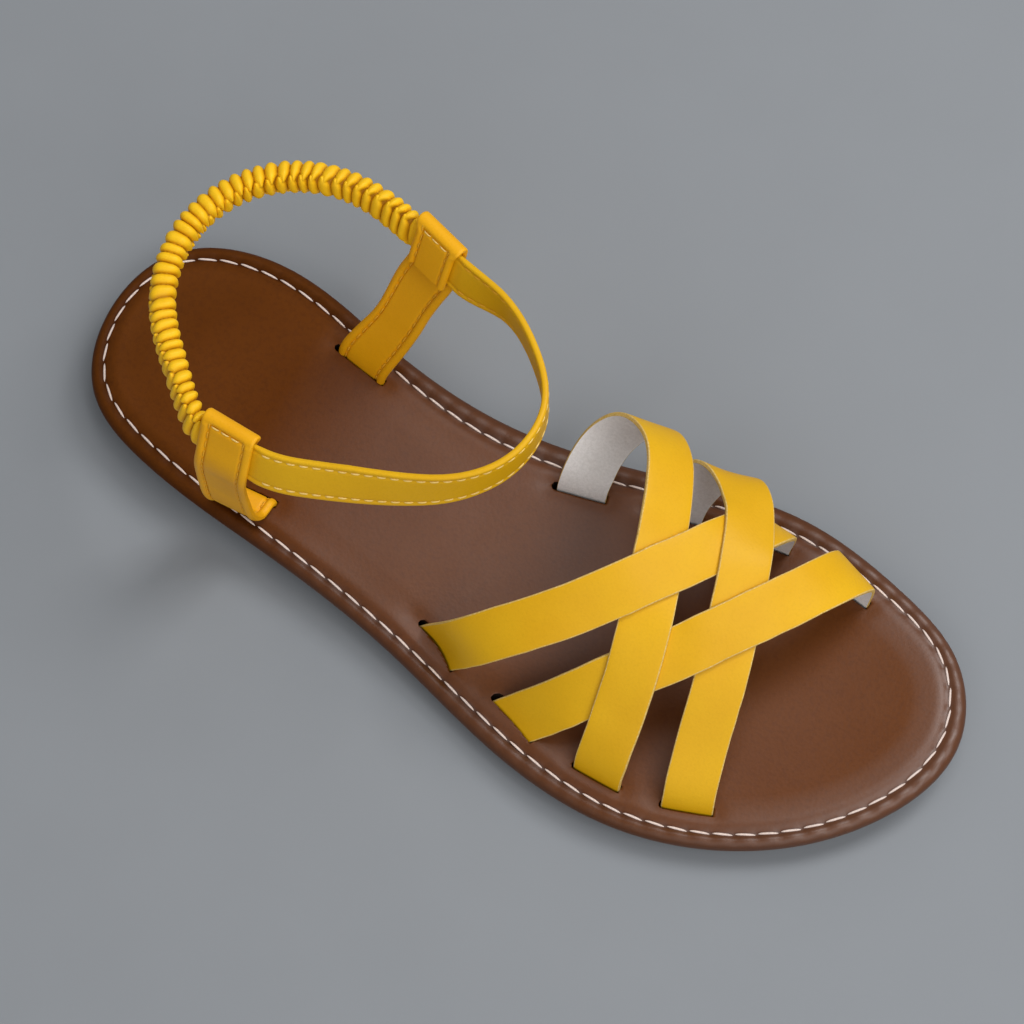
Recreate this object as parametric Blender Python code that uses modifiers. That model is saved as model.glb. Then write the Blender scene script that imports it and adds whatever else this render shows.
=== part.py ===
# Flat strap sandal for the right foot.
# A wrapped footbed sits on a thin outsole. Four leatherette straps cross over the forefoot,
# and an ankle loop, half strap and half elastic, hangs on two side tabs.
# Tables are in millimetres: forward runs from the heel to the toe, medial points to the big toe side,
# and rise is the height over the footbed's top at that place.
import math
from collections import namedtuple

import bmesh
import bpy
import numpy as np

MM = 0.001
JOIN_GAP = 0.3

# Sole sizes
SOLE_LENGTH = 248.2
STITCH_INSET = 3.2
FOOTBED_THICKNESS = 4.8
OUTSOLE_THICKNESS = 3.5
OUTSOLE_INSET = 1.8
HEEL_LIFT = 4.0
HEEL_LIFT_START = 145.0
HEEL_LIFT_RUN = 90.0
HEEL_BREAST = 66.0
HEEL_BLOCK_INSET = 2.5
HEEL_BLOCK_DRAFT = 0.4
HEEL_BLOCK_SUNK = 1.6
BREAST_CUT_LENGTH = 300.0
TOE_SPRING = 3.5
TOE_SPRING_START = 195.0
RING_POINTS = 96

# Vamp strap sizes
STRAP_WIDTH = 13.2
STRAP_THICKNESS = 1.6
STRAP_SECTIONS = 48
SLANT_RUN = 55.0
SLOT_INSET = 8.6
MOUTH_DEPTH = 1.2
SLANT_END_DEPTH = 3.7
SLOT_SIDE_ROOM = 0.3
SLOT_REAR_ROOM = 1.5
SLOT_CUT_BELOW = 4.0
SLOT_CUT_ABOVE = 2.6

# Ankle loop sizes
ANKLE_STRAP_WIDTH = 12.0
ANKLE_STRAP_THICKNESS = 1.6
ANKLE_STRAP_REACH = 9.2
ANKLE_SECTIONS = 46
ELASTIC_SIDE_WIDTH = 9.2
ELASTIC_SIDE_THICKNESS = 4.4
ELASTIC_BACK_WIDTH = 7.4
ELASTIC_BACK_THICKNESS = 6.2
ELASTIC_END_WIDTH = 8.4
ELASTIC_END_THICKNESS = 1.6
ELASTIC_REACH = 7.4
ELASTIC_SWELL_START = 0.7
ELASTIC_SWELL_RUN = 3.5
ELASTIC_ROUND_RUN = 32.0
ELASTIC_SECTIONS = 50
ELASTIC_RING = 12
TAB_WIDTH = 15.2
TAB_THICKNESS = 1.3
TAB_SECTIONS = 34
TAB_FLAP = 7.0
TAB_OFFSET = ANKLE_STRAP_THICKNESS / 2.0 + JOIN_GAP + TAB_THICKNESS / 2.0
LOOP_MIDDLE = (70.0, 18.0, 0.0)
HEEL_TOP = HEEL_LIFT + OUTSOLE_THICKNESS + JOIN_GAP + FOOTBED_THICKNESS

# Rim is the distance from the sole's edge to its stitch line.
OutlineRow = namedtuple("OutlineRow", "forward medial rim")
SOLE_OUTLINE = [
    OutlineRow(-0.1, 15.4, 3.3),
    OutlineRow(7.6, 37.7, 3.8),
    OutlineRow(34.0, 47.3, 4.5),
    OutlineRow(70.2, 40.2, 4.5),
    OutlineRow(108.0, 35.6, 5.6),
    OutlineRow(149.5, 42.1, 5.3),
    OutlineRow(188.0, 47.9, 5.0),
    OutlineRow(218.2, 41.7, 4.0),
    OutlineRow(238.4, 31.1, 3.8),
    OutlineRow(248.2, 10.8, 4.6),
    OutlineRow(238.7, -14.9, 4.1),
    OutlineRow(214.2, -35.9, 3.6),
    OutlineRow(178.0, -46.8, 3.9),
    OutlineRow(145.7, -43.4, 4.4),
    OutlineRow(107.9, -32.1, 3.8),
    OutlineRow(65.9, -24.0, 4.1),
    OutlineRow(27.6, -16.8, 4.4),
    OutlineRow(7.6, -6.4, 3.8),
]

# Half section of a sole layer, from its lower edge over the side to the top.
# Inset is the distance in from the outline.
RimRow = namedtuple("RimRow", "inset height")
FOOTBED_RIM = [
    RimRow(8.0, 0.0),
    RimRow(1.3, 0.0),
    RimRow(0.45, 0.45),
    RimRow(0.05, 1.3),
    RimRow(0.0, 2.3),
    RimRow(0.3, 3.5),
    RimRow(1.0, 4.35),
    RimRow(2.1, 4.7),
    RimRow(3.0, 4.3),
    RimRow(3.8, 4.3),
    RimRow(5.0, 4.75),
    RimRow(8.0, 4.95),
    RimRow(14.0, 5.0),
]
OUTSOLE_RIM = [
    RimRow(8.0, 0.0),
    RimRow(0.7, 0.0),
    RimRow(0.0, 0.7),
    RimRow(0.0, OUTSOLE_THICKNESS - 0.5),
    RimRow(0.5, OUTSOLE_THICKNESS),
    RimRow(8.0, OUTSOLE_THICKNESS),
]

# Vamp straps, from the medial slot to the lateral slot.
# Roll turns a section about the strap's run, in degrees.
# Turn is a slot's own turn against the outline. Slant is the slope of a strap's end line along its run:
# a strap with a slant leaves its lateral slot slantwise, and goes on straight below the footbed's top.
StrapRow = namedtuple("StrapRow", "forward medial rise roll")
VampStrap = namedtuple("VampStrap", "medial_slot lateral_slot lateral_turn lateral_slant rows")
VAMP_STRAPS = {
    "rear_lateral_to_front": VampStrap(181.2, 120.3, -15.0, -0.4, [
        StrapRow(182.8, 36.8, 17.4, -7.5),
        StrapRow(179.5, 29.0, 28.5, -15.5),
        StrapRow(171.7, 16.4, 33.9, -21.0),
        StrapRow(162.2, 3.3, 35.7, -19.0),
        StrapRow(151.2, -8.9, 32.0, -5.0),
        StrapRow(139.2, -18.7, 25.0, 11.5),
        StrapRow(128.2, -25.0, 14.2, 25.5),
    ]),
    "mid_lateral_to_front": VampStrap(205.4, 146.5, -7.0, -0.5, [
        StrapRow(206.2, 36.4, 13.3, -21.5),
        StrapRow(202.7, 28.8, 23.0, -25.5),
        StrapRow(195.8, 16.8, 28.5, -22.0),
        StrapRow(186.5, 3.9, 29.5, -17.5),
        StrapRow(176.5, -8.2, 26.6, -10.0),
        StrapRow(166.1, -18.6, 20.9, 1.0),
        StrapRow(156.3, -27.2, 11.7, 15.5),
    ]),
    "rear_medial_to_front": VampStrap(133.2, 171.2, 0.0, 0.0, [
        StrapRow(135.3, 39.4, 14.0, 23.0),
        StrapRow(143.7, 43.8, 25.6, 11.0),
        StrapRow(152.5, 37.8, 33.7, -16.5),
        StrapRow(159.3, 23.9, 36.9, -28.5),
        StrapRow(164.8, 7.0, 34.5, -20.0),
        StrapRow(168.8, -9.8, 28.0, -7.0),
        StrapRow(170.8, -24.9, 16.4, 0.5),
    ]),
    "mid_medial_to_front": VampStrap(157.7, 195.0, 0.0, 0.0, [
        StrapRow(161.2, 42.0, 12.5, 13.5),
        StrapRow(170.0, 42.0, 22.2, 8.5),
        StrapRow(177.5, 33.4, 28.2, -9.0),
        StrapRow(182.7, 20.3, 31.5, -14.5),
        StrapRow(187.0, 5.3, 28.4, -14.5),
        StrapRow(190.3, -9.6, 21.6, -14.5),
        StrapRow(192.5, -23.1, 11.8, -13.5),
    ]),
}

# Ankle loop, over the heel's footbed top.
# Lean tips the band's upper edge to the medial side, in degrees.
LoopRow = namedtuple("LoopRow", "forward medial rise lean")
LegRow = namedtuple("LegRow", "forward medial rise")
SideTab = namedtuple("SideTab", "slot slot_run centre run leg")
MEDIAL_TAB = SideTab(
    slot=LegRow(66.8, 31.4, 0.0),
    slot_run=(0.981, -0.195, 0.0),
    centre=LoopRow(80.4, 52.0, 46.4, 25.0),
    run=(0.94, -0.335, 0.06),
    leg=[LegRow(69.5, 34.8, 9.0), LegRow(73.6, 40.8, 20.5), LegRow(77.4, 47.4, 32.5)],
)
LATERAL_TAB = SideTab(
    slot=LegRow(58.0, -12.3, 0.0),
    slot_run=(0.999, 0.03, 0.0),
    centre=LoopRow(59.2, -16.7, 46.2, 29.0),
    run=(0.99, -0.09, 0.05),
    leg=[LegRow(58.0, -13.0, 0.95), LegRow(57.9, -14.7, 1.5), LegRow(57.7, -16.9, 2.1),
         LegRow(57.5, -18.6, 4.2), LegRow(57.3, -20.0, 8.8), LegRow(57.3, -20.6, 19.0),
         LegRow(57.8, -21.0, 31.0)],
)
ANKLE_STRAP_ROWS = [
    LoopRow(102.1, 45.9, 49.8, 8.0),
    LoopRow(116.5, 36.5, 52.2, 3.0),
    LoopRow(125.5, 23.8, 54.1, 2.0),
    LoopRow(124.8, 9.6, 54.5, 4.0),
    LoopRow(115.4, -2.0, 53.1, 11.0),
    LoopRow(100.1, -9.4, 51.0, 22.0),
    LoopRow(83.3, -14.8, 48.5, 29.0),
]
ELASTIC_ROWS = [
    LoopRow(55.2, 57.7, 46.8, 20.0),
    LoopRow(40.8, 54.8, 46.5, 16.0),
    LoopRow(29.4, 46.3, 46.3, 14.0),
    LoopRow(22.7, 33.6, 46.1, 14.0),
    LoopRow(22.4, 18.8, 46.0, 14.0),
    LoopRow(28.6, 5.2, 46.0, 16.0),
    LoopRow(37.3, -4.2, 46.0, 20.0),
    LoopRow(46.2, -12.7, 46.0, 26.0),
]

for old in list(bpy.data.objects):
    bpy.data.objects.remove(old, do_unlink=True)

sandal = bpy.data.collections.new("flat_strap_sandal")
cutters = bpy.data.collections.new("sandal_cutters")
bpy.context.scene.collection.children.link(sandal)
bpy.context.scene.collection.children.link(cutters)


def unit(vector):
    return np.asarray(vector, float) / np.linalg.norm(vector)


def smooth_step(value):
    value = min(max(value, 0.0), 1.0)
    return value * value * (3.0 - 2.0 * value)


# Height of the sole's underside over the floor, without the heel block.
def sole_lift(forward):
    heel = HEEL_LIFT * smooth_step((HEEL_LIFT_START - forward) / HEEL_LIFT_RUN)
    toe = max(0.0, (forward - TOE_SPRING_START) / (SOLE_LENGTH - TOE_SPRING_START))
    return heel + TOE_SPRING * toe * toe


def footbed_top(forward):
    return sole_lift(forward) + OUTSOLE_THICKNESS + JOIN_GAP + FOOTBED_THICKNESS


# Cubic spline through rows of any width, measured along the first dims columns. Closed or with free ends.
def spline_through(rows, count, closed=False, dims=3):
    points = np.asarray(rows, float)
    total = len(points)
    spans = total if closed else total - 1
    after = np.roll(points, -1, axis=0)
    lengths = np.linalg.norm((after - points)[:spans, :dims], axis=1)
    matrix = np.zeros((total, total))
    right = np.zeros(points.shape)
    for index in range(total):
        before = index - 1
        if not closed and index in (0, total - 1):
            matrix[index, index] = 1.0
            continue
        matrix[index, before] += lengths[before]
        matrix[index, index] += 2.0 * (lengths[before] + lengths[index])
        matrix[index, (index + 1) % total] += lengths[index]
        slope_after = (after[index] - points[index]) / lengths[index]
        slope_before = (points[index] - points[before]) / lengths[before]
        right[index] = 6.0 * (slope_after - slope_before)
    bends = np.linalg.solve(matrix, right)
    edges = np.concatenate([[0.0], np.cumsum(lengths)])
    result = []
    for place in np.linspace(0.0, edges[-1], count, endpoint=not closed):
        span = min(int(np.searchsorted(edges, place, side="right")) - 1, spans - 1)
        following = (span + 1) % total
        size = lengths[span]
        passed = place - edges[span]
        left = size - passed
        value = bends[span] * left ** 3 / (6.0 * size) + bends[following] * passed ** 3 / (6.0 * size)
        value = value + (points[span] / size - bends[span] * size / 6.0) * left
        value = value + (points[following] / size - bends[following] * size / 6.0) * passed
        result.append(value)
    return np.array(result)


# The sole's outline moved inward. Distances suit a usual rim, and stretch where the rim is wider.
def outline_inset(distance, count=RING_POINTS):
    rows = spline_through(SOLE_OUTLINE, count, closed=True, dims=2)
    curve = rows[:, :2]
    rim = rows[:, 2]
    along = np.roll(curve, -1, axis=0) - np.roll(curve, 1, axis=0)
    inward = np.stack([along[:, 1], -along[:, 0]], axis=1)
    inward = inward / np.linalg.norm(inward, axis=1)[:, None]
    if distance < STITCH_INSET:
        moved = distance * rim / STITCH_INSET
    else:
        moved = distance + rim - STITCH_INSET
    return curve + moved[:, None] * inward


def edge_place(forward, side):
    curve = outline_inset(SLOT_INSET, 800)
    half = curve[:400] if side > 0 else curve[400:]
    half = half[(half[:, 0] > 20.0) & (half[:, 0] < 232.0)]
    half = half[np.argsort(half[:, 0])]
    return float(np.interp(forward, half[:, 0], half[:, 1]))


# Angle of a slot that lies along the outline, from the forward direction.
def slot_angle(forward, side, turn):
    slope = (edge_place(forward + 1.0, side) - edge_place(forward - 1.0, side)) / 2.0
    return math.degrees(math.atan(slope)) + turn


def new_object(name, bm, colour, roughness, collection):
    mesh = bpy.data.meshes.new(name)
    bm.to_mesh(mesh)
    bm.free()
    mesh.shade_smooth()
    mesh.set_sharp_from_angle(angle=math.radians(40.0))
    obj = bpy.data.objects.new(name, mesh)
    collection.objects.link(obj)
    if collection is cutters:
        obj.hide_render = True
        obj.display_type = "WIRE"
    else:
        material = bpy.data.materials.new(name + "_material")
        material.use_nodes = True
        shader = material.node_tree.nodes["Principled BSDF"]
        shader.inputs["Base Color"].default_value = (*colour, 1.0)
        shader.inputs["Roughness"].default_value = roughness
        shader.inputs["Metallic"].default_value = 0.0
        mesh.materials.append(material)
    return obj


# Skin over a stack of rings. A ladder of faces closes the first and the last ring from side to side.
def loft_rings(rings):
    bm = bmesh.new()
    loops = [[bm.verts.new(np.asarray(point) * MM) for point in ring] for ring in rings]
    count = len(loops[0])
    for lower, upper in zip(loops, loops[1:]):
        for index in range(count):
            following = (index + 1) % count
            bm.faces.new((lower[index], lower[following], upper[following], upper[index]))
    for ring, flip in ((loops[0], True), (loops[-1], False)):
        half = count // 2
        for index in range(half):
            rung = [ring[index], ring[(index + 1) % count], ring[(count - index - 1) % count],
                    ring[(count - index) % count]]
            face = list(dict.fromkeys(rung))
            bm.faces.new(face[::-1] if flip else face)
    bmesh.ops.recalc_face_normals(bm, faces=bm.faces)
    return bm


def sole_layer(rim, side_inset, base):
    rings = []
    for row in rim:
        ring = outline_inset(row.inset + side_inset)
        rings.append([(x, y, sole_lift(x) + base + row.height) for x, y in ring])
    return loft_rings(rings)


# A grid bent along a path. Across gives the direction of its width at each section.
def ribbon_grid(path, across, left, right, columns=2):
    bm = bmesh.new()
    sections = len(path)
    bmesh.ops.create_grid(bm, x_segments=columns, y_segments=sections - 1, size=0.5)
    for vert in bm.verts:
        section = int(round((vert.co.y + 0.5) * (sections - 1)))
        share = vert.co.x + 0.5
        offset = -left + share * (left + right)
        vert.co = (path[section] + across[section] * offset) * MM
    bmesh.ops.recalc_face_normals(bm, faces=bm.faces)
    return bm


def add_thickness(obj, thickness, bevel=0.0):
    solid = obj.modifiers.new("thickness", "SOLIDIFY")
    solid.thickness = thickness * MM
    solid.offset = 0.0
    solid.use_even_offset = True
    if bevel > 0.0:
        soft = obj.modifiers.new("soft_edges", "BEVEL")
        soft.width = bevel * MM
        soft.segments = 1
        soft.limit_method = "ANGLE"
        soft.angle_limit = math.radians(50.0)


def boolean(obj, operand, operation):
    step = obj.modifiers.new(operation.lower() + "_" + operand.name, "BOOLEAN")
    step.operation = operation
    step.object = operand
    step.solver = "EXACT"


def path_tangents(path):
    run = np.gradient(path, axis=0)
    return run / np.linalg.norm(run, axis=1)[:, None]


def square_to(directions, tangents):
    flat = directions - np.sum(directions * tangents, axis=1)[:, None] * tangents
    return flat / np.linalg.norm(flat, axis=1)[:, None]


# Distance along a path from its first point.
def path_length(path):
    return np.concatenate([[0.0], np.cumsum(np.linalg.norm(np.diff(path, axis=0), axis=1))])


# Outsole with its low heel block
outsole_form = sole_layer(OUTSOLE_RIM, OUTSOLE_INSET, 0.0)
outsole = new_object("outsole", outsole_form, (0.05, 0.025, 0.018), 0.7, sandal)
block_rings = []
for height in (0.0, 1.0):
    ring = outline_inset(HEEL_BLOCK_INSET + HEEL_BLOCK_DRAFT * (1.0 - height))
    block_rings.append([(x, y, height * (sole_lift(x) + HEEL_BLOCK_SUNK)) for x, y in ring])
heel_block = new_object("heel_block_form", loft_rings(block_rings), (0, 0, 0), 0.7, cutters)
bm = bmesh.new()
bmesh.ops.create_cube(bm, size=1.0)
front_clear = new_object("heel_breast_cut", bm, (0, 0, 0), 0.7, cutters)
front_clear.location = ((HEEL_BREAST + BREAST_CUT_LENGTH / 2.0) * MM, 0.0, 0.0)
front_clear.scale = (BREAST_CUT_LENGTH * MM, BREAST_CUT_LENGTH * MM, BREAST_CUT_LENGTH * MM)
boolean(heel_block, front_clear, "DIFFERENCE")
boolean(outsole, heel_block, "UNION")

# Footbed
footbed_base = OUTSOLE_THICKNESS + JOIN_GAP
footbed_form = sole_layer(FOOTBED_RIM, 0.0, footbed_base)
footbed = new_object("footbed", footbed_form, (0.10, 0.035, 0.018), 0.5, sandal)


# Cuts the slot that one end of a ribbon goes through: the ribbon's own end with room around it.
def cut_slot(name, path, across, rear, front, thickness):
    low = path[0].copy()
    low[2] -= SLOT_CUT_BELOW
    keep = [low]
    sides = [across[0]]
    for point, side in zip(path, across):
        keep.append(point)
        sides.append(side)
        if point[2] > footbed_top(point[0]) + SLOT_CUT_ABOVE:
            break
    grid = ribbon_grid(np.array(keep), np.array(sides), rear, front, columns=1)
    cutter = new_object(name, grid, (0, 0, 0), 0.5, cutters)
    add_thickness(cutter, thickness + 2.0 * JOIN_GAP)
    boolean(footbed, cutter, "DIFFERENCE")


# Vamp straps
def vamp_path(strap):
    rows = [(row.forward, row.medial, footbed_top(row.forward) + row.rise, row.roll) for row in strap.rows]
    ends = []
    for forward, side, turn, slant, near in (
        (strap.medial_slot, 1.0, 0.0, 0.0, strap.rows[0]),
        (strap.lateral_slot, -1.0, strap.lateral_turn, strap.lateral_slant, strap.rows[-1]),
    ):
        medial = edge_place(forward, side)
        roll = side * slot_angle(forward, side, turn)
        lean = np.zeros(2)
        end_depth = FOOTBED_THICKNESS
        if slant:
            lean = np.array([forward - near.forward, medial - near.medial]) / near.rise
            end_depth = SLANT_END_DEPTH
        for depth in (MOUTH_DEPTH, end_depth):
            place = np.array([forward, medial]) + depth * lean
            ends.append((*place, footbed_top(forward) - depth, roll))
    curve = spline_through([ends[1], ends[0]] + rows + ends[2:], STRAP_SECTIONS)
    path = curve[:, :3]
    roll = np.radians(curve[:, 3])[:, None]
    tangents = path_tangents(path)
    level = square_to(np.tile([1.0, 0.0, 0.0], (len(path), 1)), tangents)
    across = np.cos(roll) * level + np.sin(roll) * np.cross(tangents, level)
    to_end = path_length(path[::-1])[::-1]
    slant = np.array([strap.lateral_slant * smooth_step(1.0 - left / SLANT_RUN) for left in to_end])
    return path, across + slant[:, None] * tangents


vamp = None
for name, strap in VAMP_STRAPS.items():
    path, across = vamp_path(strap)
    half = STRAP_WIDTH / 2.0
    grid = ribbon_grid(path, across, half, half)
    if vamp is None:
        vamp = new_object("vamp_straps", grid, (0.72, 0.42, 0.02), 0.6, sandal)
        add_thickness(vamp, STRAP_THICKNESS, 0.3)
    else:
        strip = new_object("strap_" + name, grid, (0, 0, 0), 0.6, cutters)
        add_thickness(strip, STRAP_THICKNESS, 0.3)
        boolean(vamp, strip, "UNION")
    rear = half + SLOT_REAR_ROOM
    front = half + SLOT_SIDE_ROOM
    cut_slot("slot_medial_" + name, path, across, rear, front, STRAP_THICKNESS)
    cut_slot("slot_lateral_" + name, path[::-1], across[::-1], rear, front, STRAP_THICKNESS)


# Side tabs: up from the slot outside the loop, over its top and down inside it.
def loop_point(row):
    return np.array([row.forward, row.medial, HEEL_TOP + row.rise])


def lean_vector(lean):
    return np.array([0.0, math.sin(math.radians(lean)), math.cos(math.radians(lean))])


def tab_frame(tab):
    run = unit(tab.run)
    upright = lean_vector(tab.centre.lean)
    up = unit(upright - np.dot(upright, run) * run)
    out = np.cross(run, up)
    if np.dot(out, loop_point(tab.centre) - np.array(LOOP_MIDDLE)) < 0.0:
        out = -out
    return loop_point(tab.centre), run, up, out


def tab_path(tab):
    centre, run, up, out = tab_frame(tab)
    slot = loop_point(tab.slot)
    half = ANKLE_STRAP_WIDTH / 2.0
    rows = [slot - [0.0, 0.0, FOOTBED_THICKNESS], slot - [0.0, 0.0, 0.9]]
    rows += [loop_point(row) for row in tab.leg]
    rows += [centre + TAB_OFFSET * out + share * half * up for share in (-0.7, 0.0, 0.5, 0.9, 1.0)]
    leg = spline_through(rows, TAB_SECTIONS)
    fold = []
    for step in range(1, 9):
        angle = math.pi * step / 8.0
        fold.append(centre + half * up + TAB_OFFSET * (math.cos(angle) * out + math.sin(angle) * up))
    flap = [centre - TAB_OFFSET * out + level * up for level in np.linspace(half, -TAB_FLAP, 8)[1:]]
    path = np.concatenate([leg, fold, flap])
    share = np.clip((path[:, 2] - slot[2]) / (centre[2] - half - slot[2]), 0.0, 1.0)[:, None]
    wanted = (1.0 - share) * unit(tab.slot_run) + share * run
    across = square_to(wanted, path_tangents(path))
    return path, across


for name, tab in (("ankle_tab_medial", MEDIAL_TAB), ("ankle_tab_lateral", LATERAL_TAB)):
    path, across = tab_path(tab)
    half = TAB_WIDTH / 2.0
    strip = new_object(name, ribbon_grid(path, across, half, half), (0.70, 0.40, 0.02), 0.55, sandal)
    add_thickness(strip, TAB_THICKNESS, 0.25)
    cut_slot("slot_" + name, path[:TAB_SECTIONS], across[:TAB_SECTIONS],
             half + SLOT_REAR_ROOM, half + SLOT_SIDE_ROOM, TAB_THICKNESS)


# Half of the ankle loop from one tab to the other. Straight inside each tab, curved between them.
def half_loop(inner_rows, side, reach, count):
    ends = []
    for tab in (MEDIAL_TAB, LATERAL_TAB):
        centre, run, up, out = tab_frame(tab)
        places = [centre + side * distance * run for distance in (JOIN_GAP / 2.0, reach / 2.0, reach)]
        ends.append([(*place, tab.centre.lean) for place in places])
    table = ends[0] + [(*loop_point(row), row.lean) for row in inner_rows] + ends[1][::-1]
    curve = spline_through(table, count)
    path = curve[:, :3]
    tangents = path_tangents(path)
    across = square_to(np.array([lean_vector(lean) for lean in curve[:, 3]]), tangents)
    return path, across, tangents


path, across, tangents = half_loop(ANKLE_STRAP_ROWS, 1.0, ANKLE_STRAP_REACH, ANKLE_SECTIONS)
half = ANKLE_STRAP_WIDTH / 2.0
band = ribbon_grid(path, across, half, half)
ankle_strap = new_object("ankle_strap", band, (0.72, 0.42, 0.02), 0.5, sandal)
add_thickness(ankle_strap, ANKLE_STRAP_THICKNESS, 0.3)


def blend(start, finish, share):
    return start + share * (finish - start)


# The elastic swells as it leaves a tab, and is rounder at the back of the heel than at the sides.
path, across, tangents = half_loop(ELASTIC_ROWS, -1.0, ELASTIC_REACH, ELASTIC_SECTIONS)
distance = path_length(path)
rings = []
for index in range(len(path)):
    from_tab = min(distance[index], distance[-1] - distance[index]) - TAB_WIDTH / 2.0
    swell = smooth_step((from_tab - ELASTIC_SWELL_START) / ELASTIC_SWELL_RUN)
    back = smooth_step(from_tab / ELASTIC_ROUND_RUN)
    width = blend(ELASTIC_END_WIDTH, blend(ELASTIC_SIDE_WIDTH, ELASTIC_BACK_WIDTH, back), swell)
    full = blend(ELASTIC_SIDE_THICKNESS, ELASTIC_BACK_THICKNESS, back)
    thickness = blend(ELASTIC_END_THICKNESS, full, swell)
    outward = np.cross(tangents[index], across[index])
    ring = []
    for step in range(ELASTIC_RING):
        angle = 2.0 * math.pi * (step + 0.5) / ELASTIC_RING
        rounded_up = math.copysign(abs(math.cos(angle)) ** 0.6, math.cos(angle))
        rounded_out = math.copysign(abs(math.sin(angle)) ** 0.6, math.sin(angle))
        place = path[index] + 0.5 * width * rounded_up * across[index]
        ring.append(place + 0.5 * thickness * rounded_out * outward)
    rings.append(ring)
elastic = new_object("heel_elastic", loft_rings(rings), (0.74, 0.42, 0.02), 0.6, sandal)

# The origin is on the floor under the middle of the sandal.
bpy.context.view_layer.update()
graph = bpy.context.evaluated_depsgraph_get()
corners = []
for obj in sandal.objects:
    solid = obj.evaluated_get(graph)
    corners += [solid.matrix_world @ vert.co for vert in solid.data.vertices]
low = [min(corner[axis] for corner in corners) for axis in range(2)]
high = [max(corner[axis] for corner in corners) for axis in range(2)]
rest = bpy.data.objects.new("sandal_origin", None)
sandal.objects.link(rest)
rest.location = (-(low[0] + high[0]) / 2.0, -(low[1] + high[1]) / 2.0, 0.0)
for obj in sandal.objects:
    if obj is not rest:
        obj.parent = rest
for obj in cutters.objects:
    obj.parent = rest
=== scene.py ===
# Dresses the flat strap sandal for the right foot, standing empty on its sole.
import math
import random

import bpy
import numpy as np
from mathutils import Matrix, Vector


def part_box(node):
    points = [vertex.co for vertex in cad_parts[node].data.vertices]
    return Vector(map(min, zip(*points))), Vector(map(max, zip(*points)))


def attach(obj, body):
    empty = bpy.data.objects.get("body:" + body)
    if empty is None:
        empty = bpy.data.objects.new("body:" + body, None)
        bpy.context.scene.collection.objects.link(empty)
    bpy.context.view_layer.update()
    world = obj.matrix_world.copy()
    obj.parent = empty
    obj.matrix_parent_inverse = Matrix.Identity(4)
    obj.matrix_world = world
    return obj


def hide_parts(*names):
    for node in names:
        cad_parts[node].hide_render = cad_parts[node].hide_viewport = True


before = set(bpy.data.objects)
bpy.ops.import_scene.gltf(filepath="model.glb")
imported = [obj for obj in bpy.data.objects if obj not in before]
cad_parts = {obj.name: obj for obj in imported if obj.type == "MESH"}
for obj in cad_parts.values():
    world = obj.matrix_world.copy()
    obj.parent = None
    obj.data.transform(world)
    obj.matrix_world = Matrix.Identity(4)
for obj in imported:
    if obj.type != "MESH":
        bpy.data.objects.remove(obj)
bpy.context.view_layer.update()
bpy.ops.object.select_all(action="DESELECT")
print("frame loaded:", sorted(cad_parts))

mm = 0.001
joinGap = 0.3

# Shape of the sole, in millimetres: forward from the heel, medial to the big toe side.
sole = {
    "length": 248.2,
    "stitchInset": 3.2,
    "footbedThickness": 4.8,
    "outsoleThickness": 3.5,
    "outsoleInset": 1.8,
    "heelLift": 4.0,
    "heelLiftStart": 145.0,
    "heelLiftRun": 90.0,
    "heelBreast": 66.0,
    "heelBlockInset": 2.5,
    "heelBlockDraft": 0.4,
    "heelBlockSunk": 1.6,
    "toeSpring": 3.5,
    "toeSpringStart": 195.0,
    # forward, medial, and the distance from the edge to the stitch line
    "outline": [
        (-0.1, 15.4, 3.3), (7.6, 37.7, 3.8), (34.0, 47.3, 4.5), (70.2, 40.2, 4.5), (108.0, 35.6, 5.6),
        (149.5, 42.1, 5.3), (188.0, 47.9, 5.0), (218.2, 41.7, 4.0), (238.4, 31.1, 3.8), (248.2, 10.8, 4.6),
        (238.7, -14.9, 4.1), (214.2, -35.9, 3.6), (178.0, -46.8, 3.9), (145.7, -43.4, 4.4),
        (107.9, -32.1, 3.8), (65.9, -24.0, 4.1), (27.6, -16.8, 4.4), (7.6, -6.4, 3.8),
    ],
}
heelTop = sole["heelLift"] + sole["outsoleThickness"] + joinGap + sole["footbedThickness"]


def smoothStep(value):
    value = np.clip(value, 0.0, 1.0)
    return value * value * (3.0 - 2.0 * value)


def soleLift(forward):
    heel = sole["heelLift"] * smoothStep((sole["heelLiftStart"] - forward) / sole["heelLiftRun"])
    toe = np.maximum(0.0, (forward - sole["toeSpringStart"]) / (sole["length"] - sole["toeSpringStart"]))
    return heel + sole["toeSpring"] * toe * toe


def footbedTop(forward):
    return soleLift(forward) + sole["outsoleThickness"] + joinGap + sole["footbedThickness"]


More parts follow.
